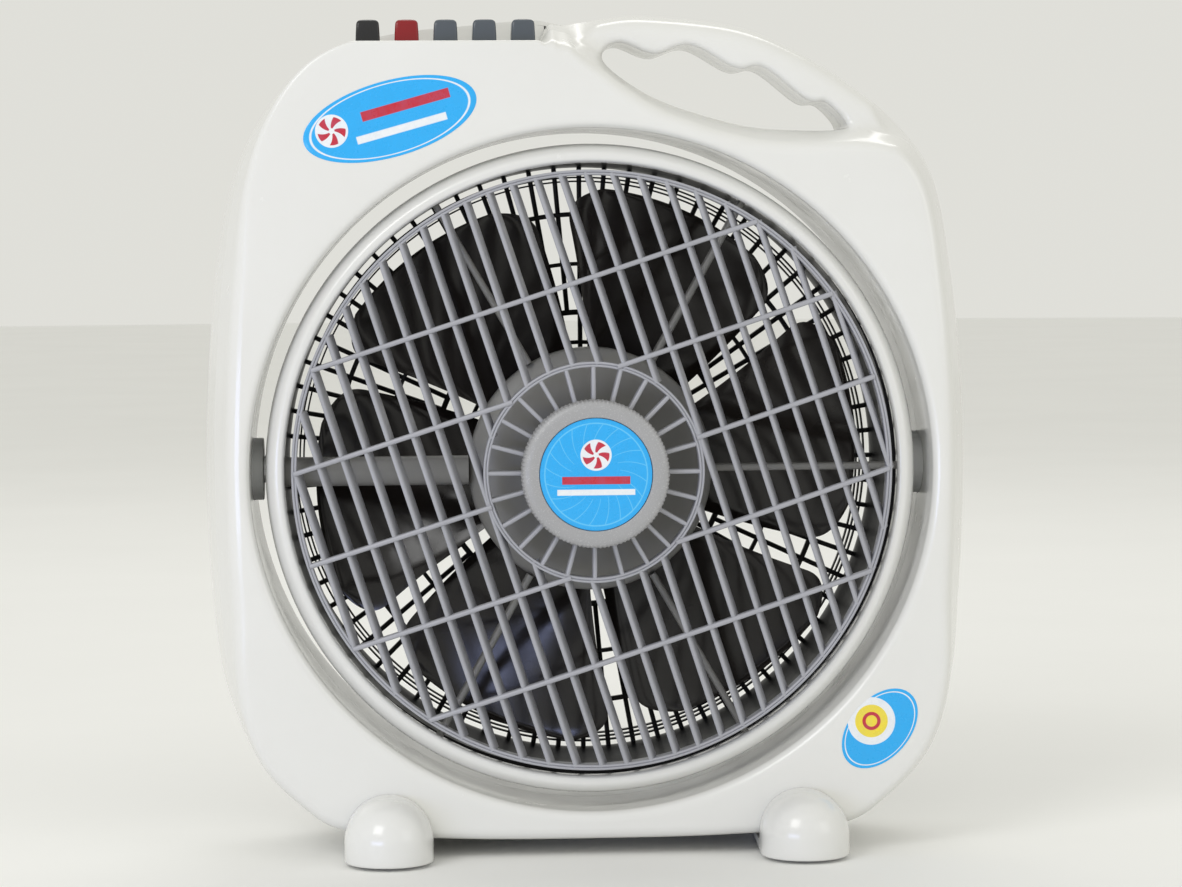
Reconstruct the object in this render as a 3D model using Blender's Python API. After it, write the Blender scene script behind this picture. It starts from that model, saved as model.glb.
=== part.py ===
"""A 300 mm box fan: a drum that tilts in a two-shell case with a carry handle, a turning louvre,
five push keys, an impeller and its motor. World frame: +Z up, the front faces -Y, metres."""

import math

import bmesh
import bpy
import numpy as np
from mathutils import Matrix, Vector

# ---- Driving dimensions ----
DRUM_Z = 0.2016  # height of the fan's axis
CASE_HALF_DEPTH = 0.055
WALL = 0.0025
GAP = 0.0003
OPENING_R = 0.178
LEDGE_Z = 0.4257  # top of the shelf that carries the keys
LEDGE_END = math.radians(96.2)  # where the shelf meets the handle, as an angle about the axis
HANDLE_HALF_DEPTH = 0.031

BEZEL_R = 0.1705
BEZEL_BORE_R = 0.1602
SKIRT_BACK = 0.016
GUARD_R = 0.1610  # where the guard's wall meets its grille
GUARD_FRONT, GUARD_BACK = 0.0580, 0.0615
GUARD_BARS = 24

LOUVRE_R = 0.1565
LOUVRE_FRONT, LOUVRE_BACK = -0.0520, -0.0430
LOUVRE_DOME = 0.012
LOUVRE_LEAN = math.radians(18)
SLAT_PITCH, SLAT_WIDTH = 0.0128, 0.0028
BAR_PITCH, BAR_WIDTH = 0.048, 0.0026
SLAT_SHEAR = 0.0030
LOUVRE_EYE_R = 0.0574
LOUVRE_RIBS = 24
KNOB_R = 0.0383

HUB_R = 0.064
BLADES = 6
BLADE_TIP_R, BLADE_ROOT_R = 0.1460, 0.0430

KEY_FIRST_X, KEY_PITCH, KEY_Y = -0.1145, 0.0202, -0.028
KEY_SIZE = (0.0130, 0.0160)
KEY_TOP, KEY_BOTTOM = 0.4370, 0.4125

FOOT_X, FOOT_R, FOOT_TOP = 0.1080, 0.0230, 0.0350
FOOT_END_Y = 0.0900
GLAND_X, GLAND_Z = -0.1280, 0.0380

AXIS = Vector((0.0, 0.0, DRUM_Z))

# Colours: base colour, roughness, metallic
IVORY = ((0.80, 0.80, 0.77), 0.22, 0.0)
GREY = ((0.30, 0.30, 0.31), 0.38, 0.0)
SLATE = ((0.075, 0.085, 0.10), 0.30, 0.0)
BLACK = ((0.012, 0.012, 0.013), 0.30, 0.0)
RED = ((0.26, 0.006, 0.010), 0.25, 0.0)
SMOKE = ((0.022, 0.018, 0.020), 0.08, 0.0)
BLUE = ((0.01, 0.36, 0.85), 0.30, 0.0)
STEEL = ((0.55, 0.55, 0.56), 0.30, 1.0)
LAMINATION = ((0.25, 0.25, 0.26), 0.50, 1.0)
COPPER = ((0.60, 0.22, 0.10), 0.35, 1.0)
ALUMINIUM = ((0.60, 0.60, 0.61), 0.40, 1.0)
RUBBER = ((0.02, 0.02, 0.02), 0.80, 0.0)

# The case seen from the front, clockwise from the top of the handle: (x, z) of the rear shell.
CASE_OUTLINE = (
    (0.030, 0.4400), (0.079, 0.4345), (0.111, 0.4219), (0.141, 0.4037),
    (0.1680, 0.3808), (0.1860, 0.3535), (0.1953, 0.3050), (0.2008, 0.2500),
    (0.2022, 0.2000), (0.2002, 0.1420), (0.1940, 0.0900), (0.1785, 0.0520),
    (0.1560, 0.0270), (0.1300, 0.0120), (0.0700, 0.0070), (0.0000, 0.0060),
    (-0.0700, 0.0070), (-0.1300, 0.0120), (-0.1560, 0.0270), (-0.1785, 0.0520),
    (-0.1940, 0.0900), (-0.2002, 0.1420), (-0.2022, 0.2000), (-0.2008, 0.2500),
    (-0.1962, 0.3050), (-0.1870, 0.3530), (-0.1692, 0.3902), (-0.1425, 0.4172),
    (-0.1050, 0.4305), (-0.0600, 0.4355), (-0.0250, 0.4381), (-0.0130, 0.4352),
    (0.0050, 0.4378),
)  # fmt: skip
# The finger opening under the handle, its upper edge waved for the fingers.
GRIP_UPPER = (
    (0.0090, 0.4205), (0.0180, 0.4245), (0.0355, 0.4185), (0.0545, 0.4230),
    (0.0780, 0.4110), (0.0930, 0.4110), (0.1150, 0.3945), (0.1260, 0.3925),
    (0.1360, 0.3820),
)  # fmt: skip
GRIP_LOWER = (
    (0.1330, 0.3785), (0.1130, 0.3780), (0.0850, 0.3800), (0.0600, 0.3860),
    (0.0370, 0.3940), (0.0200, 0.4035), (0.0085, 0.4135),
)  # fmt: skip


# ---- Helpers ----
def clear_scene():
    for obj in list(bpy.data.objects):
        bpy.data.objects.remove(obj, do_unlink=True)


def material(name, look):
    colour, roughness, metallic = look
    made = bpy.data.materials.new(name)
    made.use_nodes = True
    shader = made.node_tree.nodes["Principled BSDF"]
    shader.inputs["Base Color"].default_value = (*colour, 1.0)
    shader.inputs["Roughness"].default_value = roughness
    shader.inputs["Metallic"].default_value = metallic
    made.diffuse_color = (*colour, 1.0)
    return made


def finish(name, bm, look=None, angle=35.0):
    """Makes an object of a bmesh given in world coordinates."""
    bmesh.ops.recalc_face_normals(bm, faces=bm.faces)
    mesh = bpy.data.meshes.new(name)
    bm.to_mesh(mesh)
    bm.free()
    obj = bpy.data.objects.new(name, mesh)
    bpy.context.scene.collection.objects.link(obj)
    if look:
        mesh.materials.append(material(name, look))
    mesh.shade_smooth()
    mesh.set_sharp_from_angle(angle=math.radians(angle))
    return obj


def set_origin(obj, point):
    """Moves the object's origin to a point without moving its shape."""
    shift = Vector(point) - obj.location
    obj.data.transform(Matrix.Translation(-shift))
    obj.location = Vector(point)


def combine(target, others, operation, solver="EXACT"):
    """Applies Booleans with the other objects, one by one, and removes them."""
    for other in others:
        modifier = target.modifiers.new("combine", "BOOLEAN")
        modifier.operation = operation
        modifier.solver = solver
        modifier.object = other
        graph = bpy.context.evaluated_depsgraph_get()
        mesh = bpy.data.meshes.new_from_object(target.evaluated_get(graph))
        target.modifiers.clear()
        target.data = mesh
        bpy.data.objects.remove(other, do_unlink=True)
    target.data.shade_smooth()
    target.data.set_sharp_from_angle(angle=math.radians(35))
    return target


def cut(target, *others, solver="EXACT"):
    return combine(target, others, "DIFFERENCE", solver)


def fuse(target, *others, solver="EXACT"):
    return combine(target, others, "UNION", solver)


def cut_shell(target, *others):
    """A cut of a thin shell, whose near-touching walls need the manifold solver."""
    return cut(target, *others, solver="MANIFOLD")


def loft_ring(name, sections, look=None):
    """Closes a ring of equal closed sections, each a list of points, into one solid."""
    bm = bmesh.new()
    rings = [[bm.verts.new(point) for point in section] for section in sections]
    for ring, after in zip(rings, rings[1:] + rings[:1]):
        for i in range(len(ring)):
            j = (i + 1) % len(ring)
            bm.faces.new((ring[i], ring[j], after[j], after[i]))
    return finish(name, bm, look)


def on_axis(r, y, angle):
    """A point at a radius and an angle about the fan's axis."""
    return Vector((r * math.cos(angle), y, DRUM_Z + r * math.sin(angle)))


def turned_ring(name, profile, look, steps=48):
    """A ring turned about the fan's axis from a closed (radius, y) profile."""
    angles = [math.tau * k / steps for k in range(steps)]
    return loft_ring(name, [[on_axis(r, y, a) for r, y in profile] for a in angles], look)


def turned_solid(name, profile, look, steps=40, centre=AXIS, along=Vector((0, 1, 0))):
    """A solid turned from an open (radius, height) profile whose two ends lie on the axis."""
    rot = along.to_track_quat("Z", "X").to_matrix()
    bm = bmesh.new()
    ends = [bm.verts.new(centre + along * profile[i][1]) for i in (0, -1)]
    rings = []
    for k in range(steps):
        a = math.tau * k / steps
        out = rot @ Vector((math.cos(a), math.sin(a), 0.0))
        rings.append([bm.verts.new(centre + out * r + along * h) for r, h in profile[1:-1]])
    for ring, after in zip(rings, rings[1:] + rings[:1]):
        bm.faces.new((ends[0], ring[0], after[0]))
        bm.faces.new((ends[1], after[-1], ring[-1]))
        for i in range(len(ring) - 1):
            bm.faces.new((ring[i], ring[i + 1], after[i + 1], after[i]))
    return finish(name, bm, look)


def cylinder(name, radius, start, stop, look=None, steps=24, centre=AXIS, along=Vector((0, 1, 0))):
    profile = ((0, start), (radius, start), (radius, stop), (0, stop))
    return turned_solid(name, profile, look, steps, centre, along)


def box(name, low, high, look=None, bevel=0.0):
    bm = bmesh.new()
    bmesh.ops.create_cube(bm, size=1.0)
    low, high = Vector(low), Vector(high)
    for vert in bm.verts:
        vert.co = low + Vector(
            (high[i] - low[i]) * (vert.co[i] + 0.5) for i in range(3)
        )
    if bevel:
        bmesh.ops.bevel(bm, geom=bm.edges[:], offset=bevel, segments=1, affect="EDGES")
    return finish(name, bm, look)


def prism(name, outline, y0, y1, look=None):
    """Extrudes a closed (x, z) outline from y0 to y1."""
    bm = bmesh.new()
    front = [bm.verts.new((x, y0, z)) for x, z in outline]
    back = [bm.verts.new((x, y1, z)) for x, z in outline]
    bm.faces.new(front)
    bm.faces.new(list(reversed(back)))
    for i in range(len(front)):
        j = (i + 1) % len(front)
        bm.faces.new((front[i], back[i], back[j], front[j]))
    return finish(name, bm, look)


def lattice(name, filled, corner, across, wrap, look=None):
    """Extrudes the filled cells of a grid. corner(i, j, side) gives each grid point's place and
    side is 0 in front and 1 behind. With wrap, the last column meets the first."""
    bm = bmesh.new()
    points = {}
    columns, rows = across

    def vert(i, j, side):
        key = (i % columns if wrap else i, j, side)
        if key not in points:
            points[key] = bm.verts.new(corner(key[0], j, side))
        return points[key]

    def is_filled(i, j):
        i = i % columns if wrap else i
        return 0 <= i < columns and 0 <= j < rows and filled(i, j)

    for i in range(columns):
        for j in range(rows):
            if not is_filled(i, j):
                continue
            loop = [(i, j), (i + 1, j), (i + 1, j + 1), (i, j + 1)]
            bm.faces.new([vert(a, b, 0) for a, b in loop])
            bm.faces.new([vert(a, b, 1) for a, b in reversed(loop)])
            sides = ((i, j - 1), (i + 1, j), (i, j + 1), (i - 1, j))
            for k, neighbour in enumerate(sides):
                if not is_filled(*neighbour):
                    (a, b), (c, d) = loop[k], loop[(k + 1) % 4]
                    bm.faces.new((vert(a, b, 0), vert(a, b, 1), vert(c, d, 1), vert(c, d, 0)))
    return finish(name, bm, look)


def smooth_loop(points, per_span=12):
    """A closed Catmull-Rom curve through the points."""
    pts = np.array(points)
    curve = []
    for i in range(len(pts)):
        a, b, c, d = (pts[(i + k) % len(pts)] for k in (-1, 0, 1, 2))
        for t in np.arange(per_span) / per_span:
            curve.append(
                0.5 * (2 * b + (c - a) * t + (2 * a - 5 * b + 4 * c - d) * t**2
                       + (3 * b - a - 3 * c + d) * t**3)
            )  # fmt: skip
    return np.array(curve)


def smoothstep(low, high, value):
    t = min(1.0, max(0.0, (value - low) / (high - low)))
    return t * t * (3 - 2 * t)


def at_all_corners(points, quads=4, first=45):
    return [(points * math.cos(math.radians(first + 90 * k)),
             points * math.sin(math.radians(first + 90 * k))) for k in range(quads)]  # fmt: skip


# ---- Case ----
OUTLINE = smooth_loop(CASE_OUTLINE)
_ANGLES = np.arctan2(OUTLINE[:, 1] - DRUM_Z, OUTLINE[:, 0]) % math.tau
_ORDER = np.argsort(_ANGLES)
_RADII = np.hypot(OUTLINE[:, 0], OUTLINE[:, 1] - DRUM_Z)[_ORDER]
_ANGLES = _ANGLES[_ORDER]


def rear_radius(angle):
    """Distance from the fan's axis to the rear shell's edge."""
    return float(np.interp(angle % math.tau, _ANGLES, _RADII, period=math.tau))


def front_radius(angle):
    """As rear_radius, with the shelf for the keys cut down into the upper left."""
    whole = rear_radius(angle)
    if not math.radians(90) < angle < math.radians(130):
        return whole
    shelf = min(whole, (LEDGE_Z - DRUM_Z) / math.sin(angle))
    blend = smoothstep(LEDGE_END - math.radians(1.8), LEDGE_END, angle)
    return whole + (shelf - whole) * blend


def handle_weight(angle):
    """1 where the section runs out through the slimmer handle, 0 elsewhere."""
    rise = smoothstep(math.radians(41), math.radians(50), angle)
    fall = smoothstep(math.radians(93.2), math.radians(95.6), angle)
    return rise * (1 - fall)


def shoulder_radius(angle):
    """Radius at which the deep body ends under the handle."""
    degrees = math.degrees(angle)
    return float(np.interp(degrees, (46, 50.6, 56, 63.4, 70, 77, 85.5, 91, 96),
                           (0.2300, 0.2200, 0.2045, 0.1905, 0.1870, 0.1880, 0.1990, 0.2110, 0.2240)))  # fmt: skip


def shell_section(angle, edge, inset):
    """(radius, depth) of the shell's outside at an angle, or of its hollow when inset is WALL."""
    bore, out, face = OPENING_R + inset, edge - inset, CASE_HALF_DEPTH - inset
    low = HANDLE_HALF_DEPTH - inset
    near = 0.004 if inset else 0.006
    plain = ((bore, face - 0.008), (bore + 0.002, face - 0.0025), (bore + near, face),
             (out - 0.0105, face), (out - 0.0050, face - 0.003), (out - 0.0015, face - 0.009),
             (out, face - 0.018))  # fmt: skip
    step = shoulder_radius(angle) - (0.003 if inset else 0.0)
    slim = ((bore, face - 0.008), (bore + 0.002, face - 0.0025), (bore + 0.0045, face),
            (max(step, bore + 0.0050), face), (step + 0.006, face - 0.012),
            (step + 0.012, low), (out - 0.006, low), (out, low - 0.008))  # fmt: skip
    plain = plain[:5] + ((out - 0.003, face - 0.006),) + plain[5:]
    weight = handle_weight(angle)
    section = [(p[0] + (s[0] - p[0]) * weight, p[1] + (s[1] - p[1]) * weight)
               for p, s in zip(plain, slim)]  # fmt: skip
    return section[:1] + section[2:5] + section[6:] if inset else section


def shell_angles():
    plain = [math.radians(d) for d in range(0, 360, 8) if not 88 <= d <= 96]
    return sorted(plain + [math.radians(d) for d in (44, 52, 90, 93.4, 94.8, 96.2)])


def shell_loft(name, side, radius, inset):
    """The solid envelope of one shell, or of its hollow. side is -1 in front and 1 behind."""
    open_y = -side * 0.001 if inset else side * GAP / 2
    sections = []
    for angle in shell_angles():
        edge = radius(angle)
        profile = shell_section(angle, edge, inset)
        points = [on_axis(r, side * depth, angle) for r, depth in profile]
        points.insert(0, on_axis(OPENING_R + inset, open_y, angle))
        points.append(on_axis(edge - inset, open_y, angle))
        sections.append(points)
    return loft_ring(name, sections)


def grip_outline(grow):
    """The finger opening's outline, moved outwards by grow."""
    curve = smooth_loop(GRIP_UPPER + GRIP_LOWER, per_span=2)
    along = np.roll(curve, -1, axis=0) - np.roll(curve, 1, axis=0)
    along /= np.linalg.norm(along, axis=1)[:, None]
    return curve + grow * np.stack([-along[:, 1], along[:, 0]], axis=1)


def shell(name, side, radius):
    body = shell_loft(name, side, radius, 0.0)
    cut_shell(body, prism("grip", grip_outline(0.0), -0.1, 0.1))
    hollow = shell_loft("hollow", side, radius, WALL)
    cut_shell(hollow, prism("grip", grip_outline(WALL), -0.1, 0.1))
    cut_shell(body, hollow)
    for x in (-1, 1):
        cut_shell(body, cylinder("hole", 0.0168, 0.170, 0.190, along=Vector((x, 0, 0)), steps=32))
    body.data.materials.append(material(name, IVORY))
    return body


SCREW_SPOTS = at_all_corners(0.214, first=45)[1:]
SCREW_SPOTS.insert(0, (0.158, 0.146))


def case_front():
    body = shell("case_front", -1, front_radius)
    for x, z in SCREW_SPOTS:
        spot = Vector((x, 0, DRUM_Z + z))
        fuse(body, cylinder("post", 0.0042, -0.0540, -0.0004, centre=spot, steps=12),
             solver="MANIFOLD")
        cut_shell(body, cylinder("pilot", 0.0020, -0.0160, 0.0100, centre=spot, steps=12))
    for k in range(5):
        x = KEY_FIRST_X + k * KEY_PITCH
        half = [side / 2 + 0.0004 for side in KEY_SIZE]
        cut_shell(body, box("slot", (x - half[0], KEY_Y - half[1], 0.410),
                      (x + half[0], KEY_Y + half[1], 0.440)))  # fmt: skip


def shelf_riser():
    """The wall behind the keys, from below the shelf up to the rear shell's skin."""
    angles = [math.radians(d) for d in (97, 101, 105, 109, 113, 118)]
    outline = [((r := rear_radius(a) - 0.0012) * math.cos(a), DRUM_Z + r * math.sin(a))
               for a in angles]  # fmt: skip
    low = LEDGE_Z - 0.0035
    outline += [((low - DRUM_Z) / math.tan(a), low) for a in reversed(angles)]
    return prism("riser", outline, GAP / 2, 0.0025)


def case_rear():
    body = shell("case_rear", 1, rear_radius)
    fuse(body, shelf_riser(), solver="MANIFOLD")
    for x, z in SCREW_SPOTS:
        spot = Vector((x, 0, DRUM_Z + z))
        cut_shell(body, cylinder("hole", 0.0022, 0.0450, 0.0700, centre=spot, steps=12))
    gland = Vector((GLAND_X, 0, GLAND_Z))
    cut_shell(body, cylinder("hole", 0.0063, 0.0450, 0.0700, centre=gland, steps=20))


def case_hardware():
    for k, (x, z) in enumerate(SCREW_SPOTS):
        profile = ((0, 0.0575), (0.0030, 0.0575), (0.0042, 0.0565), (0.0042, 0.0553),
                   (0.0017, 0.0553), (0.0017, -0.0120), (0, -0.0135))  # fmt: skip
        spot = Vector((x, 0, DRUM_Z + z))
        turned_solid(f"case_screw_{k + 1}", profile, STEEL, 12, spot)
    profile = ((0.0030, 0.0400), (0.0060, 0.0400), (0.0060, 0.0553), (0.0095, 0.0553),
               (0.0085, 0.0620), (0.0050, 0.0700), (0.0030, 0.0700))  # fmt: skip
    gland = turned_ring("cord_gland", profile, RUBBER, 16)
    gland.data.transform(Matrix.Translation((GLAND_X, 0, GLAND_Z - DRUM_Z)))
    box("switch_body", (-0.1215, -0.0370, 0.3960), (-0.0270, -0.0190, 0.4080), BLACK, 0.001)
    cap = box("capacitor", (-0.019, -0.020, -0.010), (0.019, 0.020, 0.010), BLACK, 0.001)
    cap.data.transform(Matrix.Rotation(math.radians(60), 4, "Y"))
    cap.data.transform(Matrix.Translation((-0.169, 0, 0.100)))


def pivots():
    for name, x in (("left", -1), ("right", 1)):
        along = Vector((x, 0, 0))
        bush = cylinder(f"pivot_bush_{name}", 0.0165, 0.1720, 0.1890, GREY, 20, along=along)
        cut(bush, cylinder("bore", 0.0079, 0.160, 0.200, along=along, steps=16))
        cylinder(f"pivot_pin_{name}", 0.0075, 0.1708, 0.1880, STEEL, 16, along=along)


def foot(name, x):
    """A ski-shaped foot: a dome in front of the case, one behind it and a flat bar between."""
    rings = ((0.0018, 0.97), (0.0035, 1.0), (0.0130, 1.0), (0.0200, 0.95), (0.0270, 0.80),
             (0.0320, 0.55), (FOOT_TOP, 0.16))  # fmt: skip
    bm = bmesh.new()
    loops = []
    for z, spread in rings:
        loop = []
        for k in range(24):
            a = math.tau * (k + 0.5) / 24
            radius = FOOT_R if math.sin(a) < 0 else 0.0185
            centre_y = math.copysign(FOOT_END_Y - radius, math.sin(a) or 1e-9)
            loop.append(bm.verts.new((x + spread * radius * math.cos(a),
                                      centre_y + spread * radius * math.sin(a), z)))  # fmt: skip
        loops.append(loop)
    for loop, after in zip(loops, loops[1:]):
        for i in range(len(loop)):
            j = (i + 1) % len(loop)
            bm.faces.new((loop[i], loop[j], after[j], after[i]))
    bm.faces.new(loops[0])
    bm.faces.new(loops[-1])
    body = finish(name, bm, IVORY)
    spread = 1 + 1.5 * GAP / 0.19
    around = [((r := rear_radius(a) * spread) * math.cos(a), DRUM_Z + r * math.sin(a))
              for a in shell_angles()]  # fmt: skip
    return cut(body, prism("envelope", around, -CASE_HALF_DEPTH - GAP, CASE_HALF_DEPTH + GAP))


def feet():
    for name, x in (("left", -FOOT_X), ("right", FOOT_X)):
        foot(f"foot_{name}", x)
        for end, y in (("front", -0.068), ("rear", 0.070)):
            cylinder(f"foot_pad_{end}_{name}", 0.008, 0.0, 0.0015, RUBBER, 20,
                     Vector((x, y, 0)), Vector((0, 0, 1)))  # fmt: skip


def keys():
    names = ("key_swing", "key_off", "key_low", "key_medium", "key_high")
    looks = (BLACK, RED, SLATE, SLATE, SLATE)
    for k, (name, look) in enumerate(zip(names, looks)):
        x = KEY_FIRST_X + k * KEY_PITCH
        half_x, half_y = KEY_SIZE[0] / 2, KEY_SIZE[1] / 2
        bm = bmesh.new()
        levels = ((KEY_BOTTOM, 1.0), (LEDGE_Z + 0.006, 0.985), (KEY_TOP - 0.0015, 0.95),
                  (KEY_TOP, 0.80))  # fmt: skip
        loops = []
        for z, size in levels:
            corners = ((-1, -1), (1, -1), (1, 1), (-1, 1))
            loops.append([bm.verts.new((x + a * half_x * size, KEY_Y + b * half_y * size, z))
                          for a, b in corners])  # fmt: skip
        for loop, after in zip(loops, loops[1:]):
            for i in range(4):
                j = (i + 1) % 4
                bm.faces.new((loop[i], loop[j], after[j], after[i]))
        bm.faces.new(loops[0])
        bm.faces.new(loops[-1])
        set_origin(finish(name, bm, look), (x, KEY_Y, KEY_BOTTOM))


# ---- Drum ----
def drum_bezel():
    profile = ((BEZEL_BORE_R, -0.0390), (BEZEL_BORE_R, -0.0440), (0.1620, -0.0463),
               (0.1655, -0.0455), (0.1690, -0.0390), (BEZEL_R, -0.0280), (0.1700, SKIRT_BACK),
               (0.1672, SKIRT_BACK), (0.1676, -0.0350), (0.1640, -0.0390))  # fmt: skip
    set_origin(turned_ring("drum_bezel", profile, IVORY, 44), AXIS)


def rear_guard():
    wall = ((0.1664, 0.0040), (0.1664, 0.0300), (0.1637, GUARD_BACK), (GUARD_R, GUARD_BACK),
            (GUARD_R, GUARD_FRONT), (0.1640, 0.0300), (0.1640, 0.0040))  # fmt: skip
    body = turned_ring("rear_guard", wall, BLACK, 48)
    radii = (0.012, 0.048, 0.079, 0.082, 0.133, 0.1355, 0.153, 0.156, GUARD_R, GUARD_R + 0.0015)
    bar_share = 0.20

    def corner(i, j, side):
        step = math.tau / GUARD_BARS
        angle = (i // 2) * step + (i % 2) * step * bar_share
        return on_axis(radii[j], (GUARD_FRONT, GUARD_BACK)[side], angle)

    grille = lattice("grille", lambda i, j: i % 2 == 0 or j % 2 == 0, corner,
                     (2 * GUARD_BARS, 9), True)  # fmt: skip
    fuse(body, grille)
    set_origin(body, AXIS)
    profile = ((0, 0.0800), (0.030, 0.0785), (0.042, 0.0730), (0.046, 0.0625), (0.0435, 0.0625),
               (0.0400, 0.0710), (0.029, 0.0760), (0, 0.0775))  # fmt: skip
    turned_solid("motor_cover", profile, BLACK, 28)


def spider():
    profile = ((0.0046, -0.0385), (0.0300, -0.0385), (0.0560, -0.0345), (HUB_R, -0.0290),
               (HUB_R, -0.0222), (0.0615, -0.0222), (0.0615, -0.0275), (0.0550, -0.0322),
               (0.0300, -0.0362), (0.0046, -0.0362))  # fmt: skip
    turned_ring("spider_hub", profile, GREY, 32)
    for k in range(6):
        width, front = (0.0075, -0.0365) if k == 3 else (0.0018, -0.0340)
        bm = bmesh.new()
        arc = [(width * math.cos(math.pi * s / 4), front + width * (1 - math.sin(math.pi * s / 4)))
               for s in range(5)]  # fmt: skip
        section = [(width, -0.0250)] + arc + [(-width, -0.0250)]
        turn = math.tau * k / 6
        across = Vector((-math.sin(turn), 0, math.cos(turn)))
        reach = (HUB_R + GAP, 0.1663)
        ends = [[bm.verts.new(on_axis(r, y, turn) + across * w) for w, y in section]
                for r in reach]  # fmt: skip
        bm.faces.new(ends[0])
        bm.faces.new(ends[1])
        for i in range(len(section)):
            j = (i + 1) % len(section)
            bm.faces.new((ends[0][i], ends[0][j], ends[1][j], ends[1][i]))
        finish(f"spider_arm_{k + 1}", bm, GREY)
    cylinder("louvre_motor", 0.0250, -0.0358, -0.0235, STEEL, 32)


def drive_motor():
    bell = ((0.0044, 0.0215), (0.0200, 0.0215), (0.0420, 0.0260), (0.0420, 0.0385),
            (0.0398, 0.0385), (0.0398, 0.0275), (0.0200, 0.0240), (0.0044, 0.0240))  # fmt: skip
    turned_ring("motor_front_bell", bell, ALUMINIUM, 24)
    back = [(r, 0.0790 - y) for r, y in bell]
    back = [(r, y if y < 0.055 else min(y, 0.0576)) for r, y in back]
    turned_ring("motor_rear_bell", back, ALUMINIUM, 24)
    core = ((0.0226, 0.0320), (0.0395, 0.0320), (0.0395, 0.0470), (0.0226, 0.0470))
    turned_ring("stator_core", core, LAMINATION, 24)
    for name, y in (("front", 0.0280), ("rear", 0.0474)):
        coil = ((0.0250, y), (0.0370, y), (0.0370, y + 0.0036), (0.0250, y + 0.0036))
        turned_ring(f"stator_coil_{name}", coil, COPPER, 20)
    for k, (x, z) in enumerate(at_all_corners(0.0300)):
        profile = ((0, 0.0655), (0.0030, 0.0650), (0.0035, 0.0623), (0.0035, 0.0623))
        spot = Vector((x, 0, DRUM_Z + z))
        turned_solid(f"motor_screw_{k + 1}", profile[:3] + ((0, 0.0623),), STEEL, 12, spot)


def impeller_blade(k):
    """One wide blade: its pitch, its sweep and its rounded tip follow from the radius."""
    bm = bmesh.new()
    rows, columns, thick = 5, 4, 0.0020
    grid = [[[None] * (columns + 1) for _ in range(rows + 1)] for _ in range(2)]
    for i in range(rows + 1):
        s = i / rows
        radius = BLADE_ROOT_R + (BLADE_TIP_R - BLADE_ROOT_R) * s
        rounding = math.sqrt(1 - max(0.0, (s - 0.79) / 0.21) ** 2 * 0.55)
        half = math.radians(26.5 * rounding)
        middle = math.tau * k / BLADES + math.radians(2.5 + 6 * s)
        for j in range(columns + 1):
            t = 2 * j / columns - 1
            angle = middle + half * t
            y = 0.001 - 0.0150 * t * (1 - 0.25 * s) * rounding + 0.003 * (1 - t * t)
            for side in range(2):
                grid[side][i][j] = bm.verts.new(on_axis(radius, y + thick * side, angle))
    for i in range(rows):
        for j in range(columns):
            for side in range(2):
                cell = grid[side]
                face = (cell[i][j], cell[i + 1][j], cell[i + 1][j + 1], cell[i][j + 1])
                bm.faces.new(face if side else tuple(reversed(face)))
    edge = [(i, 0) for i in range(rows + 1)] + [(rows, j) for j in range(1, columns + 1)]
    edge += [(i, columns) for i in range(rows - 1, -1, -1)]
    edge += [(0, j) for j in range(columns - 1, 0, -1)]
    for (a, b), (c, d) in zip(edge, edge[1:] + edge[:1]):
        bm.faces.new((grid[0][a][b], grid[1][a][b], grid[1][c][d], grid[0][c][d]))
    return finish("blade", bm)


def impeller():
    profile = ((0.0043, -0.0100), (0.0180, -0.0100), (0.0260, -0.0165), (0.0430, -0.0160),
               (0.0450, -0.0130), (0.0450, 0.0185), (0.0428, 0.0185), (0.0428, -0.0135),
               (0.0270, -0.0140), (0.0170, -0.0060), (0.0043, -0.0060))  # fmt: skip
    body = turned_ring("impeller", profile, SMOKE, 24)
    fuse(body, *[impeller_blade(k) for k in range(BLADES)])
    set_origin(body, AXIS)
    set_origin(cylinder("motor_shaft", 0.0040, -0.0165, 0.0560, STEEL, 20), AXIS)
    rotor = ((0.0043, 0.0300), (0.0222, 0.0300), (0.0222, 0.0490), (0.0043, 0.0490))
    set_origin(turned_ring("rotor", rotor, LAMINATION, 20), AXIS)
    nut = ((0.0043, -0.0160), (0.0080, -0.0160), (0.0080, -0.0103), (0.0043, -0.0103))
    set_origin(turned_ring("impeller_nut", nut, SLATE, 12), AXIS)


# ---- Louvre ----
def louvre_lattice():
    """Parallel slats joined by cross bars, leaning with the louvre and raked sideways in depth."""
    count = 24
    u_axis = Vector((math.cos(LOUVRE_LEAN), 0, math.sin(LOUVRE_LEAN)))
    v_axis = Vector((-math.sin(LOUVRE_LEAN), 0, math.cos(LOUVRE_LEAN)))
    u_lines = []
    for k in range(count):
        middle = (k - (count - 1) / 2) * SLAT_PITCH
        u_lines += [middle - SLAT_WIDTH / 2, middle + SLAT_WIDTH / 2]
    v_lines = [-0.17]
    for k in range(-2, 3):
        v_lines += [k * BAR_PITCH - BAR_WIDTH / 2, k * BAR_PITCH + BAR_WIDTH / 2]
    v_lines.append(0.17)

    def corner(i, j, side):
        u = u_lines[i] + (SLAT_SHEAR if side else 0.0)
        y = LOUVRE_BACK if side else LOUVRE_FRONT
        return AXIS + u_axis * u + v_axis * v_lines[j] + Vector((0, y, 0))

    return lattice("slats", lambda i, j: i % 2 == 0 or j % 2 == 1, corner,
                   (len(u_lines) - 1, len(v_lines) - 1), False)  # fmt: skip


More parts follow.
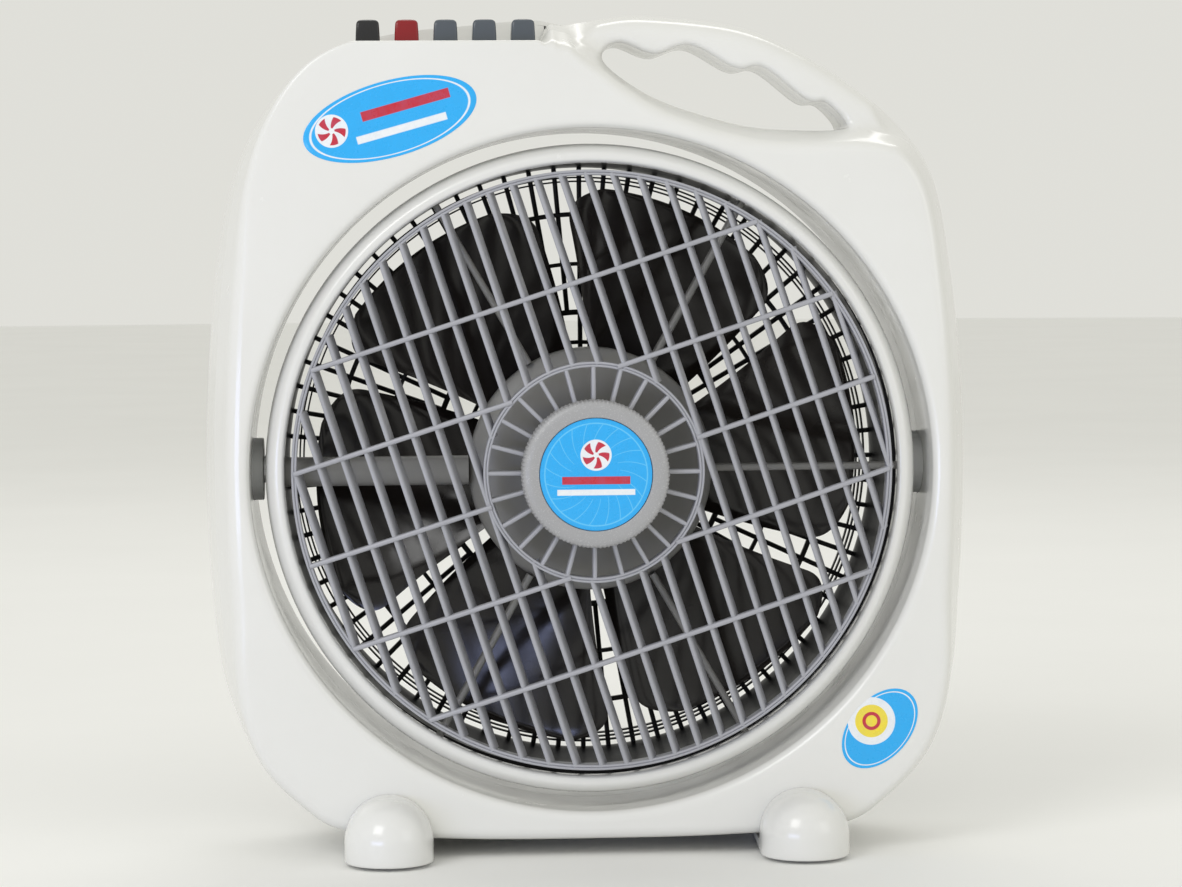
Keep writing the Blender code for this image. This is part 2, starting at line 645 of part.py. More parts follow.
def louvre_eye():
    """The hub seat, its radial ribs and the ring around them."""
    radii = (0.0046, 0.0370, LOUVRE_EYE_R - 0.0027, LOUVRE_EYE_R)

    def corner(i, j, side):
        step = math.tau / LOUVRE_RIBS
        half_rib = 0.0011 / max(radii[j], 0.020)
        angle = (i // 2) * step + (half_rib if i % 2 else -half_rib)
        return on_axis(radii[j], LOUVRE_BACK if side else LOUVRE_FRONT, angle)

    return lattice("eye", lambda i, j: i % 2 == 0 or j != 1, corner,
                   (2 * LOUVRE_RIBS, 3), True)  # fmt: skip


def louvre():
    y0, y1 = LOUVRE_FRONT - 0.01, LOUVRE_BACK + 0.01
    inner, outer = LOUVRE_EYE_R - 0.0012, LOUVRE_R - 0.0015
    body = louvre_lattice()
    clip = ((inner, y0), (outer, y0), (outer, y1), (inner, y1))
    combine(body, [turned_ring("clip", clip, None, 44)], "INTERSECT", "MANIFOLD")
    rim = ((LOUVRE_R - 0.0030, LOUVRE_FRONT), (LOUVRE_R, LOUVRE_FRONT),
           (LOUVRE_R, LOUVRE_BACK), (LOUVRE_R - 0.0030, LOUVRE_BACK))  # fmt: skip
    fuse(body, turned_ring("rim", rim, None, 44), louvre_eye(), solver="MANIFOLD")
    for vert in body.data.vertices:
        radius = math.hypot(vert.co.x, vert.co.z - DRUM_Z)
        vert.co.y -= LOUVRE_DOME * (1 - (radius / LOUVRE_R) ** 2)
    body.name = "louvre"
    body.data.materials.clear()
    body.data.materials.append(material("louvre", GREY))
    set_origin(body, AXIS)
    set_origin(cylinder("louvre_shaft", 0.0040, -0.0700, -0.0361, STEEL, 16), AXIS)


def knob():
    rim = 0.0292
    profile = ((0, -0.0765), (rim, -0.0765), (rim, -0.0788), (0.0340, -0.0786),
               (KNOB_R, -0.0745), (KNOB_R, -0.0645), (0.0046, -0.0645), (0.0046, -0.0705),
               (0, -0.0705))  # fmt: skip
    set_origin(turned_solid("knob", profile, GREY, 32), AXIS)
    badge = ((0, -0.0781), (rim - GAP, -0.0778), (rim - GAP, -0.0768), (0, -0.0768))
    set_origin(turned_solid("knob_badge", badge, BLUE, 32), AXIS)


def main():
    clear_scene()
    case_front()
    case_rear()
    case_hardware()
    pivots()
    feet()
    keys()
    drum_bezel()
    rear_guard()
    spider()
    drive_motor()
    impeller()
    louvre()
    knob()


main()
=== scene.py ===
"""Looks of a 300 mm box fan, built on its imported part: an ivory case with a carry handle, a tilting
drum with a turning louvre, an impeller and its motor, and push keys. +Z up, front faces -Y, metres."""

import math

import bmesh
import bpy
import numpy as np
from mathutils import Matrix, Vector
from mathutils.geometry import delaunay_2d_cdt


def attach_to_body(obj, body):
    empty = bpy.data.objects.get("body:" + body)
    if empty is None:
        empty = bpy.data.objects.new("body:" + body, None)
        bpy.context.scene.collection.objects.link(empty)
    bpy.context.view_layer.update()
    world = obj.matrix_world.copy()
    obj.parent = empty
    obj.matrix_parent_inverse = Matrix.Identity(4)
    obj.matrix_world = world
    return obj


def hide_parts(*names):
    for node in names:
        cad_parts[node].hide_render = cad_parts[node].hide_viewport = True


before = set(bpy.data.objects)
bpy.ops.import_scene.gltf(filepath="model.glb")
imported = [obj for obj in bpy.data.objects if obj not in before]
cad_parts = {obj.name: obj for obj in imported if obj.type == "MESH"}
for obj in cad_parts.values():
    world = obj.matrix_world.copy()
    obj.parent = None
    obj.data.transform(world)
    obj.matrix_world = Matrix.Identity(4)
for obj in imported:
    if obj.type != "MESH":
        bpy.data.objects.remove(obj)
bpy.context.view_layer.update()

# ---- Driving dimensions, close to the CAD part's ----
DRUM_Z = 0.2016
AXIS = np.array((0.0, 0.0, DRUM_Z))
FACE = 0.055  # depth of the case's face from the seam
HANDLE_FACE = 0.031
WALL = 0.0022
SEAM = 0.00025  # half of the gap between the two shells
OPENING_R = 0.178
LEDGE_Z = 0.4257
LEDGE_END = math.radians(96.2)
GRIP_ROUND = 0.0038  # radius of the finger opening's rolled edge
GRIP_START, GRIP_END = 49, 91  # degrees about the axis that hold the finger opening
UNROLL_R = 0.2  # radius at which angles about the axis are laid out flat

BEZEL_R, BEZEL_BORE_R = 0.1705, 0.1602
GUARD_R = 0.1597
GUARD_FRONT, GUARD_BACK = 0.0580, 0.0615

LOUVRE_R = 0.1565
LOUVRE_FRONT, LOUVRE_BACK = -0.0520, -0.0430
LOUVRE_DOME = 0.012
LOUVRE_LEAN = math.radians(18)
SLATS, SLAT_PITCH, SLAT_WIDTH, SLAT_SHEAR = 24, 0.0128, 0.0029, 0.0030
BAR_PITCH, BAR_WIDTH = 0.048, 0.0026
EYE_R, SEAT_R, RING_WIDTH = 0.0574, 0.0370, 0.0029
EYE_RIBS = 24
KNOB_R, BADGE_R = 0.0383, 0.0289

HUB_R = 0.064
BLADES, BLADE_ROOT_R, BLADE_TIP_R = 6, 0.0430, 0.1455

KEY_FIRST_X, KEY_PITCH, KEY_Y = -0.1145, 0.0202, -0.028
KEY_HALF = (0.0065, 0.0080)
KEY_TOP, KEY_BOTTOM = 0.4370, 0.4125

FOOT_X, FOOT_R, FOOT_REAR_R = 0.1080, 0.0230, 0.0185
FOOT_TOP, FOOT_BOTTOM, FOOT_END_Y = 0.0350, 0.0018, 0.0900

# The case seen from the front, clockwise from the top of the handle: (x, z).
CASE_OUTLINE = (
    (0.030, 0.4400), (0.079, 0.4345), (0.111, 0.4219), (0.141, 0.4037),
    (0.1680, 0.3808), (0.1860, 0.3535), (0.1953, 0.3050), (0.2008, 0.2500),
    (0.2022, 0.2000), (0.2002, 0.1420), (0.1940, 0.0900), (0.1785, 0.0520),
    (0.1560, 0.0270), (0.1300, 0.0120), (0.0700, 0.0070), (0.0000, 0.0060),
    (-0.0700, 0.0070), (-0.1300, 0.0120), (-0.1560, 0.0270), (-0.1785, 0.0520),
    (-0.1940, 0.0900), (-0.2002, 0.1420), (-0.2022, 0.2000), (-0.2008, 0.2500),
    (-0.1962, 0.3050), (-0.1870, 0.3530), (-0.1692, 0.3902), (-0.1425, 0.4172),
    (-0.1050, 0.4305), (-0.0600, 0.4355), (-0.0250, 0.4381), (-0.0130, 0.4352),
    (0.0050, 0.4378),
)
# The finger opening, its upper edge waved for the fingers.
GRIP_OUTLINE = (
    (0.0090, 0.4205), (0.0180, 0.4245), (0.0355, 0.4185), (0.0545, 0.4230),
    (0.0780, 0.4110), (0.0930, 0.4110), (0.1150, 0.3945), (0.1260, 0.3925),
    (0.1360, 0.3820), (0.1330, 0.3785), (0.1130, 0.3780), (0.0850, 0.3800),
    (0.0600, 0.3860), (0.0370, 0.3940), (0.0200, 0.4035), (0.0085, 0.4135),
)


# ---- Curves ----
def smoothstep(low, high, value):
    t = np.clip((value - low) / (high - low), 0.0, 1.0)
    return t * t * (3 - 2 * t)


def smooth_loop(points, per_span):
    """A closed Catmull-Rom curve through the points."""
    pts = np.array(points)
    before, after, beyond = (np.roll(pts, -k, axis=0) for k in (-1, 1, 2))
    spans = []
    for t in np.arange(per_span) / per_span:
        spans.append(0.5 * (2 * pts + (after - before) * t
                            + (2 * before - 5 * pts + 4 * after - beyond) * t**2
                            + (3 * pts - before - 3 * after + beyond) * t**3))
    return np.stack(spans, axis=1).reshape(-1, 2)


def rounded(corners, closed=False, steps=6, spacing=None, most=0.49):
    """A polyline of (a, b) or (a, b, before, after) corners. The last two round a corner off: they
    are how far before and after it the curve starts and ends, at most that share of the straight.
    spacing divides the straights."""
    curve = []
    count = len(corners)
    for i, corner in enumerate(corners):
        here = np.array(corner[:2])
        if len(corner) == 2:
            curve.append(here[None])
            continue
        reach_in, reach_out = corner[2], corner[3] if len(corner) > 3 else corner[2]
        back = np.array(corners[i - 1][:2]) - here
        ahead = np.array(corners[(i + 1) % count][:2]) - here
        back *= min(reach_in / np.linalg.norm(back), most)
        ahead *= min(reach_out / np.linalg.norm(ahead), most)
        t = np.linspace(0, 1, steps + 1)[:, None]
        curve.append(here + back * (1 - t) ** 2 + ahead * t**2)
    curve = np.concatenate(curve)
    return subdivided(curve, spacing, closed) if spacing else curve


def subdivided(curve, parts, closed):
    """Splits each span between corner arcs, given as how many parts it gets."""
    pieces = []
    for i, start in enumerate(curve):
        if i + 1 == len(curve) and not closed:
            pieces.append(start[None])
            break
        stop = curve[(i + 1) % len(curve)]
        count = parts.get(i, 1)
        t = np.arange(count)[:, None] / count
        pieces.append(start + (stop - start) * t)
    return np.concatenate(pieces)


def on_axis(radius, y, angle):
    """A point at a radius and an angle about the fan's axis."""
    return np.array((radius * math.cos(angle), y, DRUM_Z + radius * math.sin(angle)))


def inside(points, polygon):
    """Which of the (x, z) points lie in the closed polygon."""
    found = np.zeros(len(points), bool)
    for a, b in zip(polygon, np.roll(polygon, -1, axis=0)):
        crosses = (a[1] > points[:, 1]) != (b[1] > points[:, 1])
        rise = (b[1] - a[1]) or 1e-12
        found ^= crosses & (points[:, 0] < a[0] + (b[0] - a[0]) * (points[:, 1] - a[1]) / rise)
    return found


# ---- Meshes ----
class Shape:
    """Points and faces gathered for one piece."""

    def __init__(self):
        self.points = []
        self.faces = []

    def grid(self, rows, wrap=(False, True), caps=False):
        """Joins equal rows of points with quads. wrap: whether the rows, and each row, close."""
        rows = np.asarray(rows, float)
        count, width = rows.shape[:2]
        start = len(self.points)
        self.points += rows.reshape(-1, 3).tolist()
        for i in range(count if wrap[0] else count - 1):
            for j in range(width if wrap[1] else width - 1):
                k, m = (i + 1) % count, (j + 1) % width
                corners = ((i, j), (i, m), (k, m), (k, j))
                self.faces.append(tuple(start + a * width + b for a, b in corners))
        if caps:
            last = start + (count - 1) * width
            self.faces.append(tuple(range(start, start + width)))
            self.faces.append(tuple(range(last, last + width)))
        return self

    def turned(self, profile, steps=180, centre=AXIS, along=(0, 1, 0), closed=True):
        """Turns a (radius, height) profile about an axis. An open one ends on the axis."""
        along = np.array(along, float)
        side = np.cross(along, (0.0, 0.0, 1.0) if abs(along[2]) < 0.9 else (1.0, 0.0, 0.0))
        up = np.cross(along, side)
        angles = np.arange(steps) * math.tau / steps
        out = np.cos(angles)[:, None] * side + np.sin(angles)[:, None] * up
        profile = np.asarray(profile, float)
        rows = out[:, None, :] * profile[None, :, :1] + along * profile[None, :, 1:]
        return self.grid(rows + np.asarray(centre), wrap=(True, closed))

    def bar(self, path, across, section):
        """Sweeps an (across, y) section along a path that is straight as seen from the front."""
        path, section = np.asarray(path), np.asarray(section)
        sides = section[:, :1] * np.asarray(across) + section[:, 1:] * np.array((0.0, 1.0, 0.0))
        return self.grid(path[:, None, :] + sides[None], caps=True)

    def mesh(self, name, sharp):
        bm = bmesh.new()
        verts = [bm.verts.new(point) for point in self.points]
        for face in self.faces:
            bm.faces.new([verts[i] for i in face])
        bmesh.ops.remove_doubles(bm, verts=bm.verts, dist=1e-6)
        bmesh.ops.recalc_face_normals(bm, faces=bm.faces)
        mesh = bpy.data.meshes.new(name)
        bm.to_mesh(mesh)
        bm.free()
        shade(mesh, sharp)
        return mesh


def shade(mesh, sharp):
    mesh.shade_smooth()
    mesh.set_sharp_from_angle(angle=math.radians(sharp))


def add_object(name, mesh, look=None):
    made = bpy.data.objects.new(name, mesh)
    bpy.context.scene.collection.objects.link(made)
    if look:
        mesh.materials.clear()
        mesh.materials.append(look)
    return made


def apply_modifiers(obj):
    graph = bpy.context.evaluated_depsgraph_get()
    mesh = bpy.data.meshes.new_from_object(obj.evaluated_get(graph))
    obj.modifiers.clear()
    obj.data = mesh
    return obj


def combine(obj, operation, *others):
    """Joins the others to obj, or cuts them from it, and removes them."""
    for other in others:
        modifier = obj.modifiers.new("combine", "BOOLEAN")
        modifier.operation = operation
        modifier.solver = "MANIFOLD"
        modifier.object = other
        apply_modifiers(obj)
        bpy.data.objects.remove(other, do_unlink=True)
    return obj


def attach(obj, body, nodes):
    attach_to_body(obj, body)
    if nodes:
        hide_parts(*nodes)
    return obj


def piece(name, shape, look, body, nodes=(), sharp=35):
    """A piece of the fan: it moves with a body and stands for CAD nodes."""
    return attach(add_object(name, shape.mesh(name, sharp), look), body, nodes)


# ---- Materials ----
def add_node(tree, kind, inputs=None, **settings):
    node = tree.nodes.new("ShaderNode" + kind)
    for key, value in settings.items():
        setattr(node, key, value)
    for key, value in (inputs or {}).items():
        if isinstance(value, bpy.types.NodeSocket):
            tree.links.new(value, node.inputs[key])
        else:
            node.inputs[key].default_value = value
    return node


def noise(tree, place, scale, detail=3.0, roughness=0.55):
    inputs = {"Vector": place, "Scale": scale, "Detail": detail, "Roughness": roughness}
    return add_node(tree, "TexNoise", inputs).outputs["Fac"]


def remap(tree, value, low, high, to_low, to_high):
    inputs = {"Value": value, "From Min": low, "From Max": high, "To Min": to_low, "To Max": to_high}
    return add_node(tree, "MapRange", inputs).outputs["Result"]


def blend(tree, share, first, second):
    """A mix of two colours, each a socket or (r, g, b)."""
    mix = add_node(tree, "Mix", {"Factor": share}, data_type="RGBA")
    sockets = [s for s in mix.inputs if s.type == "RGBA"]
    for socket, colour in zip(sockets, (first, second)):
        if isinstance(colour, bpy.types.NodeSocket):
            tree.links.new(colour, socket)
        else:
            socket.default_value = (*colour, 1.0)
    return next(s for s in mix.outputs if s.type == "RGBA")


def bump(tree, height, distance, strength=1.0, under=None):
    inputs = {"Height": height, "Distance": distance, "Strength": strength}
    if under:
        inputs["Normal"] = under
    return add_node(tree, "Bump", inputs).outputs["Normal"]


def new_material(name, **values):
    """A material, its shader and its object coordinates. values are plain shader settings."""
    made = bpy.data.materials.new(name)
    made.use_nodes = True
    tree = made.node_tree
    shader = tree.nodes["Principled BSDF"]
    for key, value in values.items():
        shader.inputs[key.replace("_", " ")].default_value = value
    place = add_node(tree, "TexCoord").outputs["Object"]
    return made, tree, shader, place


def plastic(name, colour, shade_colour, rough, grain=0.00002, wave=0.0002, speck=None, **values):
    """Moulded plastic: clouded colour, a gloss dulled in patches by handling, a slow waviness from
    the mould, a fine grain, and where speck is given, fine spots of that colour."""
    made, tree, shader, place = new_material(name, **values)
    cloud = remap(tree, noise(tree, place, 11.0, 4.0), 0.3, 0.7, 0.0, 1.0)
    tint = blend(tree, cloud, colour, shade_colour)
    if speck:
        spots = remap(tree, noise(tree, place, 1500.0, 2.0), 0.58, 0.68, 0.0, 0.8)
        tint = blend(tree, spots, tint, speck)
    tree.links.new(tint, shader.inputs["Base Color"])
    smudges = remap(tree, noise(tree, place, 42.0, 6.0, 0.65), 0.35, 0.75, *rough)
    tree.links.new(smudges, shader.inputs["Roughness"])
    slow = bump(tree, noise(tree, place, 16.0, 1.0), wave, 0.35)
    fine = bump(tree, noise(tree, place, 1900.0, 2.0), grain, 0.5, slow)
    tree.links.new(fine, shader.inputs["Normal"])
    return made


def metal(name, colour, stain, rough, stretch=(1.0, 1.0, 1.0)):
    """Bare metal: stained in patches and lined by turning or drawing along the stretch."""
    made, tree, shader, place = new_material(name, Metallic=1.0)
    lined = add_node(tree, "Mapping", {"Vector": place, "Scale": stretch}).outputs["Vector"]
    patches = remap(tree, noise(tree, place, 70.0, 5.0), 0.4, 0.7, 0.0, 1.0)
    tree.links.new(blend(tree, patches, colour, stain), shader.inputs["Base Color"])
    lines = noise(tree, lined, 900.0, 3.0)
    tree.links.new(remap(tree, lines, 0.3, 0.7, *rough), shader.inputs["Roughness"])
    tree.links.new(bump(tree, lines, 0.00002, 0.5), shader.inputs["Normal"])
    return made


IVORY = plastic("ivory_shell", (0.79, 0.79, 0.765), (0.765, 0.762, 0.735), (0.17, 0.30),
                grain=0.000008, wave=0.00035, Coat_Weight=0.35, Coat_Roughness=0.06)
GREY = plastic("grey_plastic", (0.40, 0.405, 0.44), (0.35, 0.355, 0.385), (0.28, 0.45),
               grain=0.00002)
KNOB_GREY = plastic("knob_grey", (0.37, 0.37, 0.375), (0.34, 0.34, 0.345), (0.30, 0.42),
                    grain=0.00005, speck=(0.52, 0.52, 0.52))
HUB_GREY = plastic("hub_grey", (0.30, 0.295, 0.28), (0.25, 0.245, 0.23), (0.30, 0.50))
PIVOT_GREY = plastic("grey_pivot", (0.74, 0.75, 0.75), (0.69, 0.70, 0.70), (0.35, 0.5))
KEY_BLACK = plastic("key_black", (0.012, 0.012, 0.013), (0.018, 0.018, 0.02), (0.16, 0.30))
KEY_RED = plastic("key_red", (0.27, 0.006, 0.010), (0.22, 0.005, 0.008), (0.16, 0.30))
KEY_SLATE = plastic("key_slate", (0.090, 0.105, 0.125), (0.075, 0.088, 0.105), (0.18, 0.32))
BLACK = plastic("guard_black", (0.004, 0.004, 0.005), (0.007, 0.007, 0.008), (0.34, 0.5),
                Specular_IOR_Level=0.3)
TRIM_BLACK = plastic("black_plastic", (0.014, 0.014, 0.015), (0.02, 0.02, 0.021), (0.35, 0.5))
SMOKE = plastic("blade_smoke", (0.010, 0.008, 0.007), (0.015, 0.012, 0.010), (0.10, 0.22),
                grain=0.000004, wave=0.0006, Specular_IOR_Level=0.4)
RUBBER = plastic("rubber", (0.018, 0.018, 0.019), (0.03, 0.03, 0.03), (0.6, 0.85), grain=0.00006)
STEEL = metal("steel", (0.58, 0.58, 0.59), (0.42, 0.41, 0.40), (0.22, 0.42))
ALUMINIUM = metal("aluminium", (0.62, 0.62, 0.63), (0.50, 0.50, 0.50), (0.32, 0.5))
LAMINATION = metal("lamination", (0.26, 0.26, 0.27), (0.16, 0.12, 0.10), (0.4, 0.6), (1, 40, 1))
COPPER = metal("copper", (0.60, 0.24, 0.11), (0.42, 0.14, 0.06), (0.25, 0.45), (1, 8, 1))


# ---- Case outline as radii about the fan's axis ----
STEP = math.radians(0.25)
ALL_ANGLES = np.arange(0, math.tau - 1e-9, STEP)


def softened(values, degrees):
    """A periodic function of ALL_ANGLES, blurred by a bell of that width."""
    offsets = np.arange(-40, 41)
    bell = np.exp(-0.5 * (offsets * math.degrees(STEP) / degrees) ** 2)
    padded = np.concatenate([values[-40:], values, values[:40]])
    return np.convolve(padded, bell / bell.sum(), "valid")


def outline_radii():
    loop = smooth_loop(CASE_OUTLINE, 24)
    angles = np.arctan2(loop[:, 1] - DRUM_Z, loop[:, 0]) % math.tau
    order = np.argsort(angles)
    radii = np.hypot(loop[:, 0], loop[:, 1] - DRUM_Z)
    return np.interp(ALL_ANGLES, angles[order], radii[order], period=math.tau)


def shelf_radii(whole):
    """The rear outline with the key shelf cut down into its upper left."""
    with np.errstate(divide="ignore"):
        shelf = np.minimum(whole, (LEDGE_Z - DRUM_Z) / np.sin(ALL_ANGLES))
    blend_in = smoothstep(LEDGE_END - math.radians(1.6), LEDGE_END, ALL_ANGLES)
    blend_in = blend_in * (ALL_ANGLES < math.radians(130))
    return whole + (shelf - whole) * blend_in


REAR_RADII = softened(outline_radii(), 0.9)
FRONT_RADII = softened(shelf_radii(outline_radii()), 0.45)
# Where the deep body ends under the handle: (degrees, radius). Both ends run out to the outline.
SHOULDER = np.array((
    (37, 0.3000), (40, 0.2440), (44, 0.2350), (46.5, 0.2298), (49.6, 0.2215), (54.5, 0.2062),
    (58, 0.1978), (63.4, 0.1893), (70, 0.1858), (77, 0.1868), (81, 0.1906), (85.5, 0.1985),
    (90, 0.2100), (93, 0.2205), (95.5, 0.2330), (97.5, 0.3000),
))
SHOULDER_RADII = softened(np.interp(ALL_ANGLES, np.radians(SHOULDER[:, 0]), SHOULDER[:, 1]), 1.2)


def at_angle(table, angle):
    return float(np.interp(angle % math.tau, ALL_ANGLES, table, period=math.tau))


def between(angle, low, rise, fall, high):
    """1 between the middle two of four angles in degrees, 0 outside the outer two."""
    degrees = math.degrees(angle) % 360
    return smoothstep(low, rise, degrees) * (1 - smoothstep(fall, high, degrees))


def face_edge(angle, out, inset):
    """Radius at which the deep body's face ends: near the outline, or under the handle where
    that is nearer."""
    soft, options = 0.0012, (at_angle(SHOULDER_RADII, angle), out - inset)
    nearest = min(options)
    return nearest - soft * math.log(sum(math.exp((nearest - r) / soft) for r in options))


def case_section(angle, out):
    """(radius, depth) along a shell's skin, from the seam in the opening to the seam outside. The
    outer wall bends at a high and a low corner, which the handle's face spreads apart."""
    shelf = between(angle, 94, 97, 121, 152)
    under = between(angle, 200, 224, 318, 342)
    inset = 0.0140 - 0.0130 * shelf - 0.0105 * under
    edge = face_edge(angle, out, inset)
    # 1 where the handle's face lies between the deep body's face and the outline.
    handle = float(smoothstep(0.0, 1.0, (out - edge - inset) / 0.0180))
    wall = 1 - handle
    wall_high, wall_low = 0.034, 0.028
    high_r = edge + inset * 0.50 * wall + 0.0125 * handle
    high_d = wall_high + (HANDLE_FACE - wall_high) * handle
    low_r = edge + inset * 0.64 * wall + (out - 0.0045 - edge) * handle
    low_d = wall_low + (HANDLE_FACE - 0.0012 - wall_low) * handle
    crisp = 1 - 0.65 * shelf
    turn = (crisp * 0.0055, crisp * (0.0075 - 0.0015 * handle))
    return rounded((
        (OPENING_R, SEAM), (OPENING_R, FACE, 0.0055, 0.0050), (edge, FACE, *turn),
        (high_r, high_d, 0.0006 + 0.006 * handle), (low_r, low_d, 0.0006 + 0.0094 * handle),
        (out, SEAM),
    ), spacing={0: 4, 7: 8, 14: 3, 21: 3, 28: 6}, most=0.5)


def case_depth(x, z, radii):
    """Depth of the shell's skin at a place seen from the front."""
    angle = math.atan2(z - DRUM_Z, x)
    section = case_section(angle, at_angle(radii, angle))[8:]
    return float(np.interp(math.hypot(x, z - DRUM_Z), section[:, 0], section[:, 1]))


def case_angles():
    """Every degree, and closer at the handle and the end of the key shelf."""
    coarse = [a for a in range(360) if not 39 <= a < 130]
    fine = [*np.arange(39, 92, 0.5), *np.arange(92, 98, 0.25), *np.arange(98, 130, 0.5)]
    return np.radians(sorted(coarse + fine))


def grip_curve(grow):
    """The finger opening's outline, moved outwards by grow."""
    curve = smooth_loop(GRIP_OUTLINE, 12)
    along = np.roll(curve, -1, axis=0) - np.roll(curve, 1, axis=0)
    along /= np.linalg.norm(along, axis=1)[:, None]
    return curve + grow * np.stack([-along[:, 1], along[:, 0]], axis=1)


def unrolled(curve):
    """(x, z) places laid out flat as (arc length, radius) about the drum's axis."""
    x, z = curve[:, 0], curve[:, 1] - DRUM_Z
    return np.stack([UNROLL_R * np.arctan2(z, x), np.hypot(x, z)], axis=1)


def skin_round_grip(shape, angles, sections, side, radii):
    """Takes the faces near the finger opening out of a shell's skin and triangulates that block
    afresh, so that it follows the opening's edge. Returns where the edge's points start."""
    width = len(sections[0])
    columns = 9, width - 10  # from the face's inner round to just inside the seam
    rows = [int(np.argmax(np.degrees(angles) >= limit)) for limit in (GRIP_START, GRIP_END)]
    kept = []
    for k, face in enumerate(shape.faces):
        i, j = divmod(k, width - 1)
        if not (rows[0] <= i < rows[1] and columns[0] <= j < columns[1]):
            kept.append(face)
    shape.faces = kept

    block = [(i, j) for i in range(rows[0], rows[1] + 1)
             for j in range(columns[0], columns[1] + 1)]
    border = ([(rows[0], j) for j in range(*columns)] + [(i, columns[1]) for i in range(*rows)]
              + [(rows[1], j) for j in range(columns[1], columns[0], -1)]
              + [(i, columns[0]) for i in range(rows[1], rows[0], -1)])
    flat = np.array([(UNROLL_R * angles[i], sections[i][j][0]) for i, j in block])
    edge = grip_curve(GRIP_ROUND)
    flat_edge = unrolled(edge)
    too_near = inside(flat, unrolled(grip_curve(GRIP_ROUND + 0.0006)))
    used = [k for k in range(len(block)) if not too_near[k]]
    place_of = {block[k]: n for n, k in enumerate(used)}
    spots = [Vector(flat[k]) for k in used] + [Vector(p) for p in flat_edge]
    loops = [[place_of[b] for b in border], [len(used) + k for k in range(len(edge))]]
    edges = [(a, b) for loop in loops for a, b in zip(loop, loop[1:] + loop[:1])]
    _, _, triangles, source, _, _ = delaunay_2d_cdt(spots, edges, [], 0, 1e-7)

    start = len(shape.points)
    shape.points += [(x, side * case_depth(x, z, radii), z) for x, z in edge]
    index = [block[k][0] * width + block[k][1] for k in used]
    index += list(range(start, start + len(edge)))
    outline = np.array([flat[block.index(b)] for b in border])
    chosen = [[source[v][0] for v in t] for t in triangles]
    middles = np.array([np.mean([spots[v] for v in t], axis=0) for t in chosen])
    good = inside(middles, outline) & ~inside(middles, flat_edge)
    shape.faces += [tuple(index[v] for v in t) for t, ok in zip(chosen, good) if ok]
    return start


def rolled_edge(first_ring, side, radii):
    """Rings of points that roll the finger opening's edge over and run down to the seam."""
    rings = [first_ring]
    for turn in np.linspace(0, math.pi / 2, 8)[1:]:
        line = grip_curve(GRIP_ROUND * (1 - math.sin(turn)))
        drop = GRIP_ROUND * (1 - math.cos(turn))
        ring = [(x, side * (case_depth(x, z, radii) - drop), z) for x, z in line]
        rings.append(np.array(ring))
    line = grip_curve(0.0)
    top = rings[-1][:, 1]
    for share in (0.5, 1.0):
        low = top + (side * SEAM - top) * share
        rings.append(np.stack([line[:, 0], low, line[:, 1]], axis=1))
    return rings


def shell(name, side, radii, look):
    """One shell of the case as a closed wall: the skin, thickened inwards."""
    angles = case_angles()
    sections = [case_section(a, at_angle(radii, a)) for a in angles]
    rows = [[on_axis(r, side * d, a) for r, d in s] for a, s in zip(angles, sections)]
    shape = Shape().grid(rows, wrap=(True, False))
    start = skin_round_grip(shape, angles, sections, side, radii)
    shape.grid(rolled_edge(np.array(shape.points[start:]), side, radii), wrap=(False, True))
    body = add_object(name, shape.mesh(name, 60), look)
    wall = body.modifiers.new("wall", "SOLIDIFY")
    wall.thickness = WALL
    wall.offset = -1.0
    return apply_modifiers(body)


def shelf_riser():
    """The wall behind the keys, from the shelf up to the rear shell."""
    angles = np.radians(np.linspace(95.2, 119.5, 60))
    rows = []
    for depth in (SEAM, SEAM + 0.0015):
        row = [on_axis(at_angle(REAR_RADII, a) - 0.0004, depth, a) for a in angles]
        row += [on_axis((LEDGE_Z - 0.0030 - DRUM_Z) / math.sin(a), depth, a) for a in angles[::-1]]
        rows.append(row)
    piece("shelf_riser", Shape().grid(rows, caps=True), IVORY, "case")


def plane_prism(outline, y0, y1):
    """A closed (x, z) outline extruded from y0 to y1."""
    rows = [[(x, y, z) for x, z in outline] for y in (y0, y1)]
    return Shape().grid(rows, caps=True)


def cutter(shape):
    return add_object("cutter", shape.mesh("cutter", 30))


def rounded_rectangle(half_x, half_y, radius):
    corners = [(sx * half_x, sy * half_y, radius)
               for sx, sy in ((-1, -1), (1, -1), (1, 1), (-1, 1))]
    return rounded(corners, closed=True, steps=5)


def key_places():
    return [KEY_FIRST_X + k * KEY_PITCH for k in range(5)]


def case():
    front = shell("case_front_shell", -1, FRONT_RADII, IVORY)
    rear = shell("case_rear_shell", 1, REAR_RADII, IVORY)
    for body in (front, rear):
        for x in (-1, 1):
            hole = ((0.0, 0.168), (0.0168, 0.168), (0.0168, 0.192), (0.0, 0.192))
            drill = Shape().turned(hole, 64, along=(x, 0, 0), closed=False)
            combine(body, "DIFFERENCE", cutter(drill))
    for x in key_places():
        outline = rounded_rectangle(KEY_HALF[0] + 0.0004, KEY_HALF[1] + 0.0004, 0.0020)
        rows = [[(x + a, KEY_Y + b, z) for a, b in outline] for z in (0.410, 0.446)]
        combine(front, "DIFFERENCE", cutter(Shape().grid(rows, caps=True)))
    for body, node in ((front, "case_front"), (rear, "case_rear")):
        shade(body.data, 40)
        attach(body, "case", (node,))
    shelf_riser()


